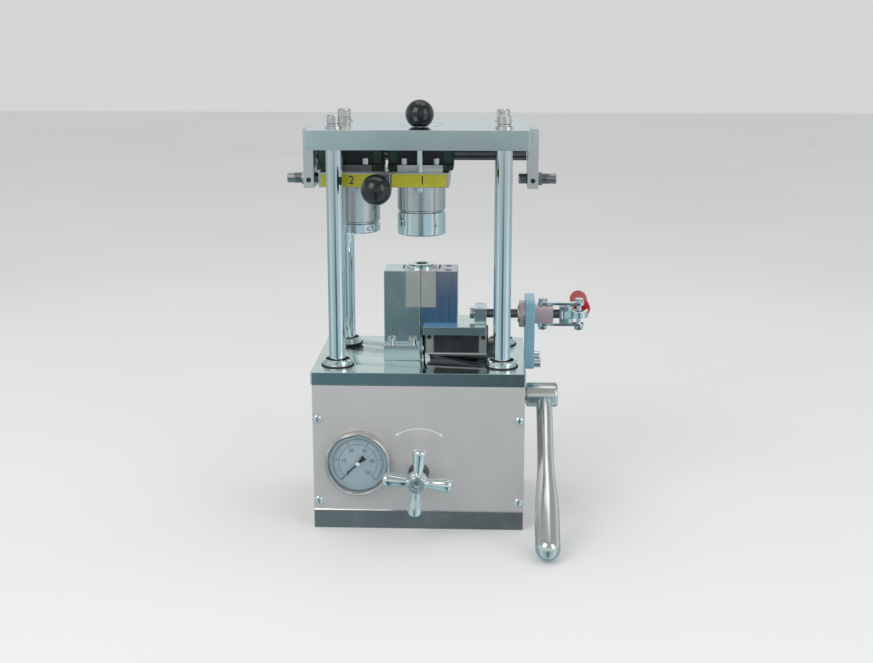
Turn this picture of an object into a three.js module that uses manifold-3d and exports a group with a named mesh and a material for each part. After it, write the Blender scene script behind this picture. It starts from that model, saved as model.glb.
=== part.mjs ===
// Manual hydraulic bench press with two switchable pressing heads and a split clamping die.
// Millimetres, +Z up. The origin is the centre of the cabinet's underside.
// +X is the side of the pump lever and the toggle clamp, and -Y is the front with the gauge.
import * as THREE from 'three';
import { mergeVertices } from 'three/addons/utils/BufferGeometryUtils.js';
import Module from 'manifold-3d';

const wasm = await Module();
wasm.setup();

// ---------------------------------------------------------------- driving dimensions
const PLATE = {
  halfX: 100.6, halfY: 75, baseTop: 154, baseThick: 12, topUnder: 360, topThick: 18, corner: 1,
};
const CABINET = { halfX: 99.8, halfY: 74, wall: 2, lipTop: 18.5, inset: 1, shaftHole: 7 };
const OPENING = { halfX: 90, bottom: 26, top: 134 };
const PANEL = { thick: 2, halfX: 99.5, bottom: 19, top: 141.5, front: -75 };
const COLUMN = { x: 78, y: 45, radius: 8, spigot: 6, tapDepth: 22, tapRadius: 4.3, boltHole: 4.5 };
const COLLAR = { inner: 8.3, recess: 11.5, outer: 14, floor: 3, height: 6.5, chamfer: 1 };
const BOLT = { shank: 4, reach: 18, washer: 8.5, spring: 6.8, head: 6.5, socket: 3.4 };
const RAIL = { halfWidth: 7.5, height: 15 };
const CARRIAGE = {
  length: 61.4, cap: 9.2, height: 24, plainHeight: 25.5, flangeHalf: 23.5, bodyHalf: 17, flangeThick: 6,
};
const UPPER_CARRIAGES = { primaryX: 0, secondaryX: -66.5 };
const HEAD = { pitch: 65, plateThick: 14, plateFront: -35, plateBack: 30, gap: 0.4 };
const HEAD_PLATES = { left: -94.3, joint: -27.4, right: 27.3 };
const PRIMARY_HEAD = { radius: 23, ringTop: 296, bottom: 274 };
const SECONDARY_HEAD = { radius: 25, ringTop: 285.3, bottom: 276.4 };
const PULL_KNOB = { x: -36.5, z: 325.6, stub: 4, foot: -70.6, centre: -82.6, ball: 14 };
const PIN = { x: 0, y: -30, radius: 2.8, tip: 316.5, ball: 13.4, slotHalf: 3.2 };
const STOP = {
  z: 327, thread: 5.3, head: 4.7, shoulder: 121.7, end: 128.5, leftTip: -94.5,
  bracketThick: 10, bracketHalfY: 20, bracketBottom: 319.5, bracketTop: 375.6,
};
const DIE = {
  halfX: 35.4, halfY: 19, top: 240.1, bore: 6, gap: 0.25, blockGap: 0.8,
  insertDepth: 35.2, insertHalfX: 14.6, collar: 14.2, collarHeight: 4.7, footHalfY: 28, footHeight: 14.8,
  slotX: [16.6, 18.2], slotY: [-6, 16], slotDepth: 3,
};
const SLIDE = { plateLeft: 2.5, plateRight: 62.4, plateHalfY: 28, plateThick: 8, carriageX: 34.3 };
const CLAMP = {
  z: 195.5, plateThick: 9, bodyPivotX: 118, rodPivotX: 142, handlePivotX: 153, rod: 4.3, barrel: 9,
};
const CLAMP_PLATE = { halfY: 20, bottom: 144.5, top: 212, corner: 2 };
const TOGGLE = {
  bodyHalfY: 9, halfZ: 8.3, cheek: 5.5, forkStart: 134, slotStart: 136.2, linkOffset: 9, linkThick: 2.5,
};
const GRIP = { x: 157, near: 22.3, far: 78, radius: 8.8, bore: 3.3, boreEnd: 61 };
const RAM = {
  punch: 5.7, rod: 3, piston: 14.2, pistonFoot: 30, pistonTop: 44, punchTop: 222, punchLength: 32,
};
const GAUGE = { x: -56.8, z: 66.5, bezel: 31.2, body: 26.8, window: 27.6, needle: 23.5, needleAngle: 225 };
const GAUGE_DEPTHS = { stubBack: -46, caseBack: -52, flange: -75.2, dialBack: -76.5, front: -84.5 };
const VALVE = {
  x: 0.5, z: 57, stem: 4, hubFront: -112, hubBack: -92, spokeY: -103, spokeReach: 32.4, spokeTurn: 5,
};
const LEVER = {
  x: 120.2, y: -10, z: 116.6, restAngle: 52.9, length: 173, grip: 11.3, shaft: 6, crank: 24, crankDrop: 30,
};
const CYLINDER = { bottom: 2.3, outer: 24, bore: 14.6, floor: 12, roof: 130 };
const PUMP = { x: 77, plunger: 5, blockX: [-70, 94], blockY: [-45.7, -24.5], blockZ: [40, 85] };

const baseUnder = PLATE.baseTop - PLATE.baseThick;
const topTop = PLATE.topUnder + PLATE.topThick;
const carriageFaceZ = PLATE.topUnder - CARRIAGE.height;
const headPlateUnder = carriageFaceZ - HEAD.plateThick;
const lowerCarriageTop = PLATE.baseTop + CARRIAGE.plainHeight;
const slideTop = lowerCarriageTop + SLIDE.plateThick;
const FIT = 0.3;
const ROUND = 16;
const LARGE = 24;
const SMALL = 10;

// ---------------------------------------------------------------- materials
const finish = (color, roughness, metalness) =>
  new THREE.MeshStandardMaterial({ color, roughness, metalness });
const polished = finish(0xb9c6cb, 0.18, 1);
const ground = finish(0xa7adae, 0.35, 1);
const satin = finish(0xb4b3b1, 0.5, 0.9);
const darkSteel = finish(0x3c4044, 0.4, 0.9);
const blackPart = finish(0x15171a, 0.45, 0.4);
const phenolic = finish(0x0b0c0e, 0.12, 0);
const redGrip = finish(0xc0262e, 0.35, 0);
const dialBlue = finish(0xa9c3cf, 0.6, 0);
const glass = finish(0xdfe9ec, 0.05, 0);
const cast = finish(0x5c6468, 0.7, 0.6);

// ---------------------------------------------------------------- solids
// A three.js geometry as a manifold solid with its faces pointing out.
function solid(geometry) {
  const bare = geometry.clone();
  bare.deleteAttribute('normal');
  bare.deleteAttribute('uv');
  const merged = mergeVertices(bare, 1e-4);
  const corners = merged.index.array;
  const faces = [];
  for (let i = 0; i < corners.length; i += 3) {
    const [a, b, c] = [corners[i], corners[i + 1], corners[i + 2]];
    if (a !== b && b !== c && c !== a) faces.push([a, b, c]);
  }
  const build = (list) => new wasm.Manifold(new wasm.Mesh({
    numProp: 3,
    vertProperties: new Float32Array(merged.attributes.position.array),
    triVerts: new Uint32Array(list.flat()),
  }));
  const made = build(faces);
  return made.volume() < 0 ? build(faces.map(([a, b, c]) => [a, c, b])) : made;
}

const join = (first, ...others) => others.reduce((sum, other) => sum.add(other), first);
const cut = (first, ...others) => others.reduce((rest, other) => rest.subtract(other), first);

// A box from its two corner values along each axis.
function block([x0, x1], [y0, y1], [z0, z1]) {
  const geometry = new THREE.BoxGeometry(x1 - x0, y1 - y0, z1 - z0);
  return solid(geometry.translate((x0 + x1) / 2, (y0 + y1) / 2, (z0 + z1) / 2));
}

// A turned piece: the profile is [radius, distance along the axis], and the axis is x, y or z.
function turned(axis, profile, [u, v] = [0, 0], segments = ROUND) {
  const geometry = new THREE.LatheGeometry(profile.map(([r, h]) => new THREE.Vector2(r, h)), segments);
  if (axis === 'x') return solid(geometry.rotateZ(-Math.PI / 2).translate(0, u, v));
  if (axis === 'y') return solid(geometry.translate(u, 0, v));
  return solid(geometry.rotateX(Math.PI / 2).translate(u, v, 0));
}

// A plain round bar, and a ring given by its inner and outer radius.
const bar = (axis, radius, [from, to], centre, segments) =>
  turned(axis, [[0, from], [radius, from], [radius, to], [0, to]], centre, segments);
const ring = (axis, [inner, outer], [from, to], centre, segments) =>
  turned(axis, [[inner, from], [outer, from], [outer, to], [inner, to], [inner, from]], centre, segments);

// An outline extruded along an axis: x takes [y, z] points, y takes [x, z] and z takes [x, y].
const extrudeAxes = {
  x: [[0, 1, 0], [0, 0, 1], [1, 0, 0]],
  y: [[1, 0, 0], [0, 0, 1], [0, -1, 0]],
  z: [[1, 0, 0], [0, 1, 0], [0, 0, 1]],
};
function extruded(axis, outline, [from, to]) {
  const shape = new THREE.Shape(outline.map(([a, b]) => new THREE.Vector2(a, b)));
  const geometry = new THREE.ExtrudeGeometry(shape, { depth: to - from, bevelEnabled: false });
  const columns = extrudeAxes[axis].map((column) => new THREE.Vector3(...column));
  const start = axis === 'y' ? to : from;
  const offset = { x: [start, 0, 0], y: [0, start, 0], z: [0, 0, start] }[axis];
  return solid(geometry.applyMatrix4(new THREE.Matrix4().makeBasis(...columns)).translate(...offset));
}

// A rectangular outline with all four corners cut off.
function chamfered(halfA, halfB, corner) {
  return [
    [halfA, halfB - corner], [halfA - corner, halfB], [corner - halfA, halfB], [-halfA, halfB - corner],
    [-halfA, corner - halfB], [corner - halfA, -halfB], [halfA - corner, -halfB], [halfA, corner - halfB],
  ];
}

// A regular hexagon round a centre, for nuts and bolt heads.
function hexagon(acrossCorners, [a, b]) {
  const corner = (i) => (i * Math.PI) / 3;
  return Array.from({ length: 6 }, (_, i) => [
    a + (acrossCorners / 2) * Math.cos(corner(i)),
    b + (acrossCorners / 2) * Math.sin(corner(i)),
  ]);
}

// A ball with a flat at its foot: its profile runs up from the flat to the crown.
function ballProfile(radius, centre, flat, direction = 1, steps = 7) {
  const first = Math.asin((flat - centre) / radius / direction);
  return Array.from({ length: steps + 1 }, (_, i) => {
    const angle = first + ((Math.PI / 2 - first) * i) / steps;
    return [i === steps ? 0 : radius * Math.cos(angle), centre + direction * radius * Math.sin(angle)];
  });
}

const press = new THREE.Group();
function place(name, shape, material, parent = press) {
  const { vertProperties, triVerts } = shape.getMesh();
  const geometry = new THREE.BufferGeometry();
  geometry.setAttribute('position', new THREE.BufferAttribute(new Float32Array(vertProperties), 3));
  geometry.setIndex(new THREE.BufferAttribute(new Uint32Array(triVerts), 1));
  const mesh = new THREE.Mesh(geometry, material);
  mesh.name = name;
  parent.add(mesh);
}

// ---------------------------------------------------------------- cabinet
function cabinet() {
  const { halfX, halfY, wall, lipTop, inset, shaftHole } = CABINET;
  const shell = cut(
    block([-halfX, halfX], [-halfY, halfY], [0, baseUnder]),
    block([wall - halfX, halfX - wall], [wall + inset - halfY, halfY - wall], [-1, baseUnder + 1]),
    block([-halfX - 1, halfX + 1], [-halfY - 1, inset - halfY], [lipTop, baseUnder + 1]),
    block([-OPENING.halfX, OPENING.halfX], [-halfY - 1, wall + 2 - halfY], [OPENING.bottom, OPENING.top]),
    bar('x', shaftHole, [halfX - 9, halfX + 6], [LEVER.y, LEVER.z]),
  );
  place('base_cabinet', shell, satin);
  const floorX = halfX - wall - FIT;
  const floorY = [wall + inset - halfY + FIT, halfY - wall - FIT];
  place('bottom_plate', block([-floorX, floorX], floorY, [0, wall]), satin);
  const through = [PANEL.front - 1, PANEL.front + PANEL.thick + 1];
  const panel = cut(
    block([-PANEL.halfX, PANEL.halfX], [PANEL.front, PANEL.front + PANEL.thick], [PANEL.bottom, PANEL.top]),
    bar('y', GAUGE.body + 0.5, through, [GAUGE.x, GAUGE.z], LARGE),
    bar('y', VALVE.stem + 5.5, through, [VALVE.x, VALVE.z]),
  );
  place('front_panel', panel, satin);
}

// ---------------------------------------------------------------- frame
const corners = [
  ['front_left', -1, -1], ['front_right', 1, -1], ['back_left', -1, 1], ['back_right', 1, 1],
];

function plates() {
  const outline = chamfered(PLATE.halfX, PLATE.halfY, PLATE.corner);
  const columnHoles = (radius, span) =>
    corners.map(([, sx, sy]) => bar('z', radius, span, [sx * COLUMN.x, sy * COLUMN.y]));
  const base = cut(
    extruded('z', outline, [baseUnder, PLATE.baseTop]),
    ...columnHoles(COLUMN.spigot + 0.2, [baseUnder - 1, PLATE.baseTop + 1]),
    bar('z', RAM.rod + FIT, [baseUnder - 1, PLATE.baseTop + 1]),
  );
  place('base_plate', base, polished);
  const top = cut(
    extruded('z', outline, [PLATE.topUnder, topTop]),
    ...columnHoles(COLUMN.boltHole, [PLATE.topUnder - 1, topTop + 1]),
    bar('z', PIN.radius + FIT, [PLATE.topUnder - 1, topTop + 1], [PIN.x, PIN.y]),
  );
  place('top_plate', top, polished);
}

// A column is a bright bar with a spigot in the base plate and a tapped hole in its top.
function column(name, x, y) {
  const { radius, spigot, tapDepth, tapRadius } = COLUMN;
  const profile = [
    [0, baseUnder], [spigot, baseUnder], [spigot, PLATE.baseTop], [radius, PLATE.baseTop],
    [radius, PLATE.topUnder], [tapRadius, PLATE.topUnder],
    [tapRadius, PLATE.topUnder - tapDepth], [0, PLATE.topUnder - tapDepth],
  ];
  place('column_' + name, turned('z', profile, [x, y]), polished);
}

// The collar round a column's foot is a cupped ring with a recess in its top.
function collar(name, x, y) {
  const { inner, recess, outer, chamfer } = COLLAR;
  const foot = PLATE.baseTop;
  const floor = foot + COLLAR.floor;
  const rim = foot + COLLAR.height;
  const profile = [
    [inner, foot], [outer, foot], [outer, rim - chamfer], [outer - chamfer, rim], [recess, rim],
    [recess, floor], [inner, floor], [inner, foot],
  ];
  place('column_collar_' + name, turned('z', profile, [x, y]), polished);
}

// A socket head cap screw with its spring washer and flat washer, down through the top plate.
function columnBolt(name, x, y) {
  const { shank, reach, washer, spring, head, socket } = BOLT;
  const springFoot = topTop + 1.6;
  const headFoot = springFoot + 2;
  const headTop = headFoot + 2 * shank;
  const profile = [
    [0, PLATE.topUnder - reach], [shank, PLATE.topUnder - reach], [shank, topTop], [washer, topTop],
    [washer, springFoot], [spring, springFoot], [spring, headFoot], [head, headFoot],
    [head, headTop], [socket, headTop], [socket, headTop - shank], [0, headTop - shank],
  ];
  place('column_bolt_' + name, turned('z', profile, [x, y]), polished);
}

function frame() {
  plates();
  for (const [name, sx, sy] of corners) {
    column(name, sx * COLUMN.x, sy * COLUMN.y);
    collar(name, sx * COLUMN.x, sy * COLUMN.y);
    columnBolt(name, sx * COLUMN.x, sy * COLUMN.y);
  }
}

// ---------------------------------------------------------------- guide rails and carriages
// The rail and carriage sections are drawn from the rail's seat at height 0 and mirrored about y = 0.
const mirrored = (half) => [...half, ...half.map(([y, h]) => [-y, h]).reverse()];
const seated = (half, seat, direction) => mirrored(half).map(([y, h]) => [y, seat + direction * h]);

function rail(name, span, seat, direction) {
  const { halfWidth, height } = RAIL;
  const half = [
    [halfWidth, 0], [halfWidth, 6], [halfWidth - 1.5, 7.5], [halfWidth - 1.5, 11],
    [halfWidth, 12.5], [halfWidth, height - 0.5], [halfWidth - 0.5, height],
  ];
  place(name, extruded('x', seated(half, seat, direction), span), darkSteel);
}

// A carriage wraps the rail: a steel block between two slightly smaller end caps. It is a full rectangle
// in section, or, where it has a waist, a narrower body with a flange on each side.
function carriage(name, x, seat, direction, waisted) {
  const { length, cap, flangeHalf, bodyHalf, flangeThick } = CARRIAGE;
  const height = waisted ? CARRIAGE.height : CARRIAGE.plainHeight;
  const channel = { halfWidth: 7.9, foot: waisted ? 4.3 : 5.8, roof: 15.5 };
  const outline = (shrink) => {
    const foot = channel.foot + shrink;
    const waist = [[bodyHalf - shrink, foot], [bodyHalf - shrink, height - flangeThick]];
    const outside = [
      [channel.halfWidth, foot], ...(waisted ? waist : []),
      [flangeHalf - shrink, waisted ? height - flangeThick : foot], [flangeHalf - shrink, height - shrink],
    ];
    return [
      ...seated(outside, seat, direction),
      [-channel.halfWidth, seat + direction * channel.roof],
      [channel.halfWidth, seat + direction * channel.roof],
    ];
  };
  const half = length / 2;
  const body = extruded('x', outline(0), [x - half + cap, x + half - cap]);
  const caps = extruded('x', outline(0.5), [x - half, x + half]);
  place(name, join(body, caps), blackPart);
}

// ---------------------------------------------------------------- upper tool slide
function headPlate(name, [left, right]) {
  const { x, y, slotHalf } = PIN;
  const slab = block([left, right], [HEAD.plateFront, HEAD.plateBack], [headPlateUnder, carriageFaceZ]);
  const through = [headPlateUnder - 1, carriageFaceZ + 1];
  const slot = join(
    block([x - HEAD.pitch, x], [y - slotHalf, y + slotHalf], through),
    bar('z', slotHalf, through, [x, y]),
    bar('z', slotHalf, through, [x - HEAD.pitch, y]),
  );
  place(name, cut(slab, slot), ground);
}

// A pressing head: a turned body with a spigot, and a ring nut that closes round the spigot.
function pressingHead(prefix, x, { radius, ringTop, bottom }) {
  const bore = DIE.bore + 0.5;
  const boreTop = headPlateUnder - 24;
  const spigot = radius - 8;
  const shoulder = ringTop + 2;
  const body = [
    [0, boreTop], [bore, boreTop], [bore, bottom + 1], [spigot, bottom + 1],
    [spigot, shoulder], [radius, shoulder], [radius, headPlateUnder], [0, headPlateUnder],
  ];
  place(prefix + '_head', turned('z', body, [x, 0], LARGE), ground);
  const spannerHole = 1.8;
  const ringHoles = [38, 128, 218, 308].map((degrees) => {
    const hole = new THREE.CylinderGeometry(spannerHole, spannerHole, 6, SMALL).rotateZ(Math.PI / 2);
    hole.translate(radius, 0, 0).rotateZ(THREE.MathUtils.degToRad(degrees));
    return solid(hole.translate(x, 0, (ringTop + bottom) / 2));
  });
  const nut = ring('z', [spigot + FIT, radius], [bottom, ringTop], [x, 0], LARGE);
  place(prefix + '_head_ring', cut(nut, ...ringHoles), polished);
}

function toolSlide() {
  const { left, joint, right } = HEAD_PLATES;
  rail('upper_rail', [1 - PLATE.halfX, PLATE.halfX - 1], PLATE.topUnder, -1);
  carriage('primary_carriage', UPPER_CARRIAGES.primaryX, PLATE.topUnder, -1, true);
  carriage('secondary_carriage', UPPER_CARRIAGES.secondaryX, PLATE.topUnder, -1, true);
  headPlate('primary_head_plate', [joint + HEAD.gap / 2, right]);
  headPlate('secondary_head_plate', [left, joint - HEAD.gap / 2]);
  pressingHead('primary', 0, PRIMARY_HEAD);
  pressingHead('secondary', -HEAD.pitch, SECONDARY_HEAD);
  const { x, z, stub, foot, centre, ball } = PULL_KNOB;
  const knob = [
    [0, HEAD.plateFront], [stub, HEAD.plateFront], [stub, foot], ...ballProfile(ball, centre, foot, -1),
  ];
  place('pull_knob', turned('y', knob, [x, z]), phenolic);
}

function indexPin() {
  const centre = [PIN.x, PIN.y];
  const knobFoot = topTop + 0.4;
  const knobCentre = knobFoot + 10.9;
  place('index_pin', bar('z', PIN.radius, [PIN.tip, knobFoot + 6], centre), polished);
  const knob = [
    [0, knobFoot + 6.3], [PIN.radius + 0.2, knobFoot + 6.3], [PIN.radius + 0.2, knobFoot],
    ...ballProfile(PIN.ball, knobCentre, knobFoot),
  ];
  place('index_knob', turned('z', knob, centre), phenolic);
}

// The stops hang from the ends of the top plate and limit the tool slide.
function stop(side, direction, tip) {
  const inner = direction * PLATE.halfX;
  const outer = direction * (PLATE.halfX + STOP.bracketThick);
  const span = [Math.min(inner, outer), Math.max(inner, outer)];
  const bracket = cut(
    block(span, [-STOP.bracketHalfY, STOP.bracketHalfY], [STOP.bracketBottom, STOP.bracketTop]),
    bar('x', STOP.thread + FIT / 2, [span[0] - 1, span[1] + 1], [0, STOP.z]),
  );
  place(side + '_stop_bracket', bracket, ground);
  const shoulder = direction * STOP.shoulder;
  const end = direction * STOP.end;
  const bolt = [
    [0, tip], [STOP.thread, tip], [STOP.thread, shoulder], [STOP.head, shoulder], [STOP.head, end], [0, end],
  ];
  place(side + '_stop_bolt', turned('x', bolt, [0, STOP.z]), darkSteel);
}

// ---------------------------------------------------------------- split die
// Each half die is a block with an insert set into its inner face, and half a collar on top.
function dieHalf(side, direction, bottom, foot) {
  const { halfX, halfY, top, bore, gap, blockGap, insertDepth, insertHalfX } = DIE;
  const { collar, collarHeight, slotX, slotY, slotDepth } = DIE;
  const toward = (near, far) => (direction < 0 ? [-far, -near] : [near, far]);
  const outer = direction < 0 ? halfX : halfX - 0.5;
  const seat = top - insertDepth;
  const upright = block(toward(blockGap, outer), [-halfY, halfY], [bottom, top]);
  const body = cut(
    foot ? join(upright, foot) : upright,
    block(toward(-1, insertHalfX + FIT), [-halfY - 1, halfY + 1], [seat - FIT, top + 1]),
    bar('z', bore, [slideTop - 0.5, top + 1]),
    block(toward(...slotX), slotY, [top - slotDepth, top + 1]),
    bar('z', RAM.rod + 1, [bottom - 1, slideTop]),
  );
  place(side + '_die_block', body, polished);
  const collarTop = top + collarHeight;
  const collarProfile = [
    [0, top - 1], [collar, top - 1], [collar, collarTop - 1], [collar - 1, collarTop], [0, collarTop],
  ];
  const boreProfile = [
    [0, seat - 1], [bore, seat - 1], [bore, collarTop - 1.2],
    [bore + 1.6, collarTop + 0.4], [0, collarTop + 0.4],
  ];
  const insert = cut(
    join(block(toward(gap, insertHalfX), [-halfY, halfY], [seat, top]), turned('z', collarProfile)),
    block(toward(-20, gap), [-20, 20], [seat - 1, collarTop + 1]),
    turned('z', boreProfile),
  );
  place(side + '_die_insert', insert, ground);
}

function splitDie() {
  const footTop = PLATE.baseTop + DIE.footHeight;
  const footY = [-DIE.footHalfY, DIE.footHalfY];
  const foot = block([-DIE.halfX, -DIE.blockGap], footY, [PLATE.baseTop, footTop]);
  dieHalf('fixed', -1, PLATE.baseTop, foot);
  dieHalf('moving', 1, slideTop, null);
  rail('lower_rail', [8, 83], PLATE.baseTop, 1);
  carriage('lower_carriage', SLIDE.carriageX, PLATE.baseTop, 1, false);
  const plateX = [SLIDE.plateLeft, SLIDE.plateRight];
  const plateY = [-SLIDE.plateHalfY, SLIDE.plateHalfY];
  const plate = cut(
    block(plateX, plateY, [lowerCarriageTop, slideTop]),
    bar('z', RAM.rod + 1, [lowerCarriageTop - 1, slideTop + 1]),
  );
  place('slide_plate', plate, polished);
}

// ---------------------------------------------------------------- push-pull toggle clamp
const clampAxis = [0, CLAMP.z];

function clampFrame() {
  const { z, barrel } = CLAMP;
  const { bodyHalfY, halfZ } = TOGGLE;
  const plateX = [PLATE.halfX, PLATE.halfX + CLAMP.plateThick];
  const { halfY, bottom, top, corner } = CLAMP_PLATE;
  const middle = (bottom + top) / 2;
  const outline = chamfered(halfY, (top - bottom) / 2, corner).map(([y, height]) => [y, height + middle]);
  const bracket = cut(
    extruded('x', outline, plateX),
    bar('x', barrel + 0.2, [plateX[0] - 1, plateX[1] + 1], clampAxis),
  );
  place('clamp_bracket', bracket, polished);
  const stubHole = (from, to) => bar('z', 2.7, [from, to], [CLAMP.bodyPivotX, 0], SMALL);
  const body = cut(
    join(
      block([plateX[1] + FIT, 127.5], [-bodyHalfY, bodyHalfY], [z - halfZ, z + halfZ]),
      bar('x', barrel, [93.5, plateX[1] + 1], clampAxis),
    ),
    bar('x', CLAMP.rod + FIT, [90, 130], clampAxis),
    stubHole(z + 5.4, z + 10),
    stubHole(z - 10, z - 5.4),
  );
  place('clamp_body', body, satin);
  const nutX = [94.8, plateX[0] - FIT];
  const nut = cut(
    extruded('x', hexagon(27.7, clampAxis), nutX),
    bar('x', barrel + 0.2, [nutX[0] - 1, nutX[1] + 1], clampAxis),
  );
  place('clamp_nut', nut, satin);
}

// The plunger rod carries the push block at its left end and a fork for the handle at its right end.
function plunger() {
  const push = cut(
    block([51.5, 63.2], [-15, 15], [slideTop, slideTop + 15.5]),
    bar('x', CLAMP.rod + 0.2, [50, 65], clampAxis),
  );
  place('push_block', push, polished);
  const { cheek, forkStart, slotStart, halfZ } = TOGGLE;
  const { z, rodPivotX } = CLAMP;
  const forkZ = [z - halfZ, z + halfZ];
  const fork = cut(
    join(
      block([forkStart, rodPivotX], [-cheek, cheek], forkZ),
      bar('z', cheek, forkZ, [rodPivotX, 0]),
    ),
    block([slotStart, rodPivotX + 8], [-9, 9], [z - 3.7, z + 3.7]),
  );
  const rod = join(
    extruded('x', hexagon(13, clampAxis), [47, 51.2]),
    bar('x', CLAMP.rod, [50, forkStart + 2], clampAxis),
    fork,
    bar('z', 2.4, [z - 5, z + 5], [rodPivotX, 0], SMALL),
  );
  place('plunger_rod', rod, darkSteel);
}

// Two bars join the body's pivot to the handle's pivot, one above and one below.
function toggleLinks() {
  const { bodyPivotX, handlePivotX, z } = CLAMP;
  const { linkOffset, linkThick } = TOGGLE;
  const pivots = [bodyPivotX, handlePivotX];
  const side = (direction) => {
    const span = (near, far) => [z + direction * near, z + direction * far].sort((a, b) => a - b);
    const plate = span(linkOffset, linkOffset + linkThick);
    const nut = span(linkOffset + linkThick - 0.5, linkOffset + linkThick + 4);
    return join(
      block([bodyPivotX, handlePivotX], [-3.5, 3.5], plate),
      ...pivots.map((x) => bar('z', 4.5, plate, [x, 0], SMALL)),
      ...pivots.map((x) => extruded('z', hexagon(8.6, [x, 0]), nut)),
      bar('z', 2.4, span(5.8, linkOffset + 1), [bodyPivotX, 0], SMALL),
    );
  };
  const pin = bar('z', 2.2, [z - linkOffset - 1, z + linkOffset + 1], [handlePivotX, 0], SMALL);
  const links = join(side(1), side(-1), pin);
  place('toggle_links', links, ground);
}

function clampHandle() {
  const { rodPivotX, handlePivotX, z } = CLAMP;
  const { x, near, far, radius, bore, boreEnd } = GRIP;
  const thick = [z - 3.3, z + 3.3];
  const armEnd = near - FIT;
  const lever = cut(
    join(
      bar('z', 4.7, thick, [rodPivotX, 0], SMALL),
      block([rodPivotX, handlePivotX], [-4.5, 4.5], thick),
      bar('z', 8, thick, [handlePivotX, 0]),
      block([x - 5, x + 5], [0, armEnd], thick),
      bar('y', bore - FIT, [armEnd - 2, boreEnd - 1], [x, z], SMALL),
    ),
    bar('z', 2.8, [z - 5, z + 5], [rodPivotX, 0], SMALL),
    bar('z', 5, [z - 5, z + 5], [handlePivotX, 0], SMALL),
  );
  place('clamp_handle', lever, ground);
  const grip = [
    [bore, near], [radius - 1.2, near], [radius, near + 2], [radius, far - 5], [radius - 1.5, far - 1.5],
    [radius - 4.5, far], [0, far], [0, boreEnd], [bore, boreEnd], [bore, near],
  ];
  place('handle_grip', turned('y', grip, [x, z], 12), redGrip);
}

// ---------------------------------------------------------------- gauge and relief valve
function gauge() {
  const { x, z, bezel, body, window } = GAUGE;
  const centre = [x, z];
  const { stubBack, caseBack, flange, dialBack, front } = GAUGE_DEPTHS;
  const cup = [
    [0, stubBack], [6, stubBack], [6, caseBack], [body, caseBack], [body, flange], [bezel, flange],
    [bezel, front + 1.5], [bezel - 1.6, front], [window, front], [window, dialBack], [0, dialBack],
  ];
  place('gauge_case', turned('y', cup, centre, LARGE), polished);
  place('gauge_dial', bar('y', window - FIT, [dialBack - 1, dialBack - 0.1], centre, LARGE), dialBlue);
  place('gauge_lens', bar('y', window - FIT, [front + 1.1, front + 2.5], centre, LARGE), glass);
  const turn = THREE.MathUtils.degToRad(GAUGE.needleAngle);
  const along = (reach, side) => [
    x + reach * Math.sin(turn) + side * Math.cos(turn),
    z + reach * Math.cos(turn) - side * Math.sin(turn),
  ];
  const outline = [along(GAUGE.needle, 0), along(0, 0.9), along(-9, 2.6), along(-9, -2.6), along(0, -0.9)];
  const pointer = extruded('y', outline, [-80.4, -79.6]);
  place('gauge_needle', join(pointer, bar('y', 2.2, [-81, -78], centre, SMALL)), blackPart);
}

function handwheelAndStem() {
  const { x, z, stem, hubFront, hubBack, spokeY, spokeReach, spokeTurn } = VALVE;
  place('valve_stem', bar('y', stem, [hubBack, -60], [x, z], SMALL), polished);
  const hubProfile = [
    [0, hubBack], [8, hubBack], [9.5, hubBack - 3], [10, spokeY],
    [9, hubFront + 3], [6.5, hubFront], [0, hubFront],
  ];
  const hub = turned('y', hubProfile, [x, z]);
  const spokeProfile = [
    [0, 5], [4.5, 5], [4.6, 12], [6.4, spokeReach - 8], [6.7, spokeReach - 5],
    [6, spokeReach - 1.6], [4.6, spokeReach], [0, spokeReach],
  ];
  const spokes = [0, 90, 180, 270].map((degrees) => {
    const geometry = new THREE.LatheGeometry(spokeProfile.map(([r, h]) => new THREE.Vector2(r, h)), SMALL);
    geometry.rotateX(Math.PI / 2);
    return solid(geometry.rotateY(THREE.MathUtils.degToRad(degrees + spokeTurn)).translate(x, spokeY, z));
  });
  place('handwheel', join(hub, ...spokes), polished);
}

// ---------------------------------------------------------------- hydraulics
function hydraulics() {
  const { bottom, outer, bore, floor, roof } = CYLINDER;
  const rodBore = RAM.rod + 0.2;
  const cylinder = [
    [0, bottom], [outer, bottom], [outer, baseUnder - FIT], [rodBore, baseUnder - FIT],
    [rodBore, roof], [bore, roof], [bore, floor], [0, floor],
  ];
  place('hydraulic_cylinder', turned('z', cylinder, [0, 0], LARGE), cast);
  const { piston, pistonFoot, pistonTop, rod, punch, punchTop } = RAM;
  const shoulder = punchTop - RAM.punchLength;
  const ram = [
    [0, pistonFoot], [piston, pistonFoot], [piston, pistonTop], [rod, pistonTop], [rod, shoulder],
    [punch, shoulder], [punch, punchTop], [0, punchTop],
  ];
  place('ram', turned('z', ram), polished);
}

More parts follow.
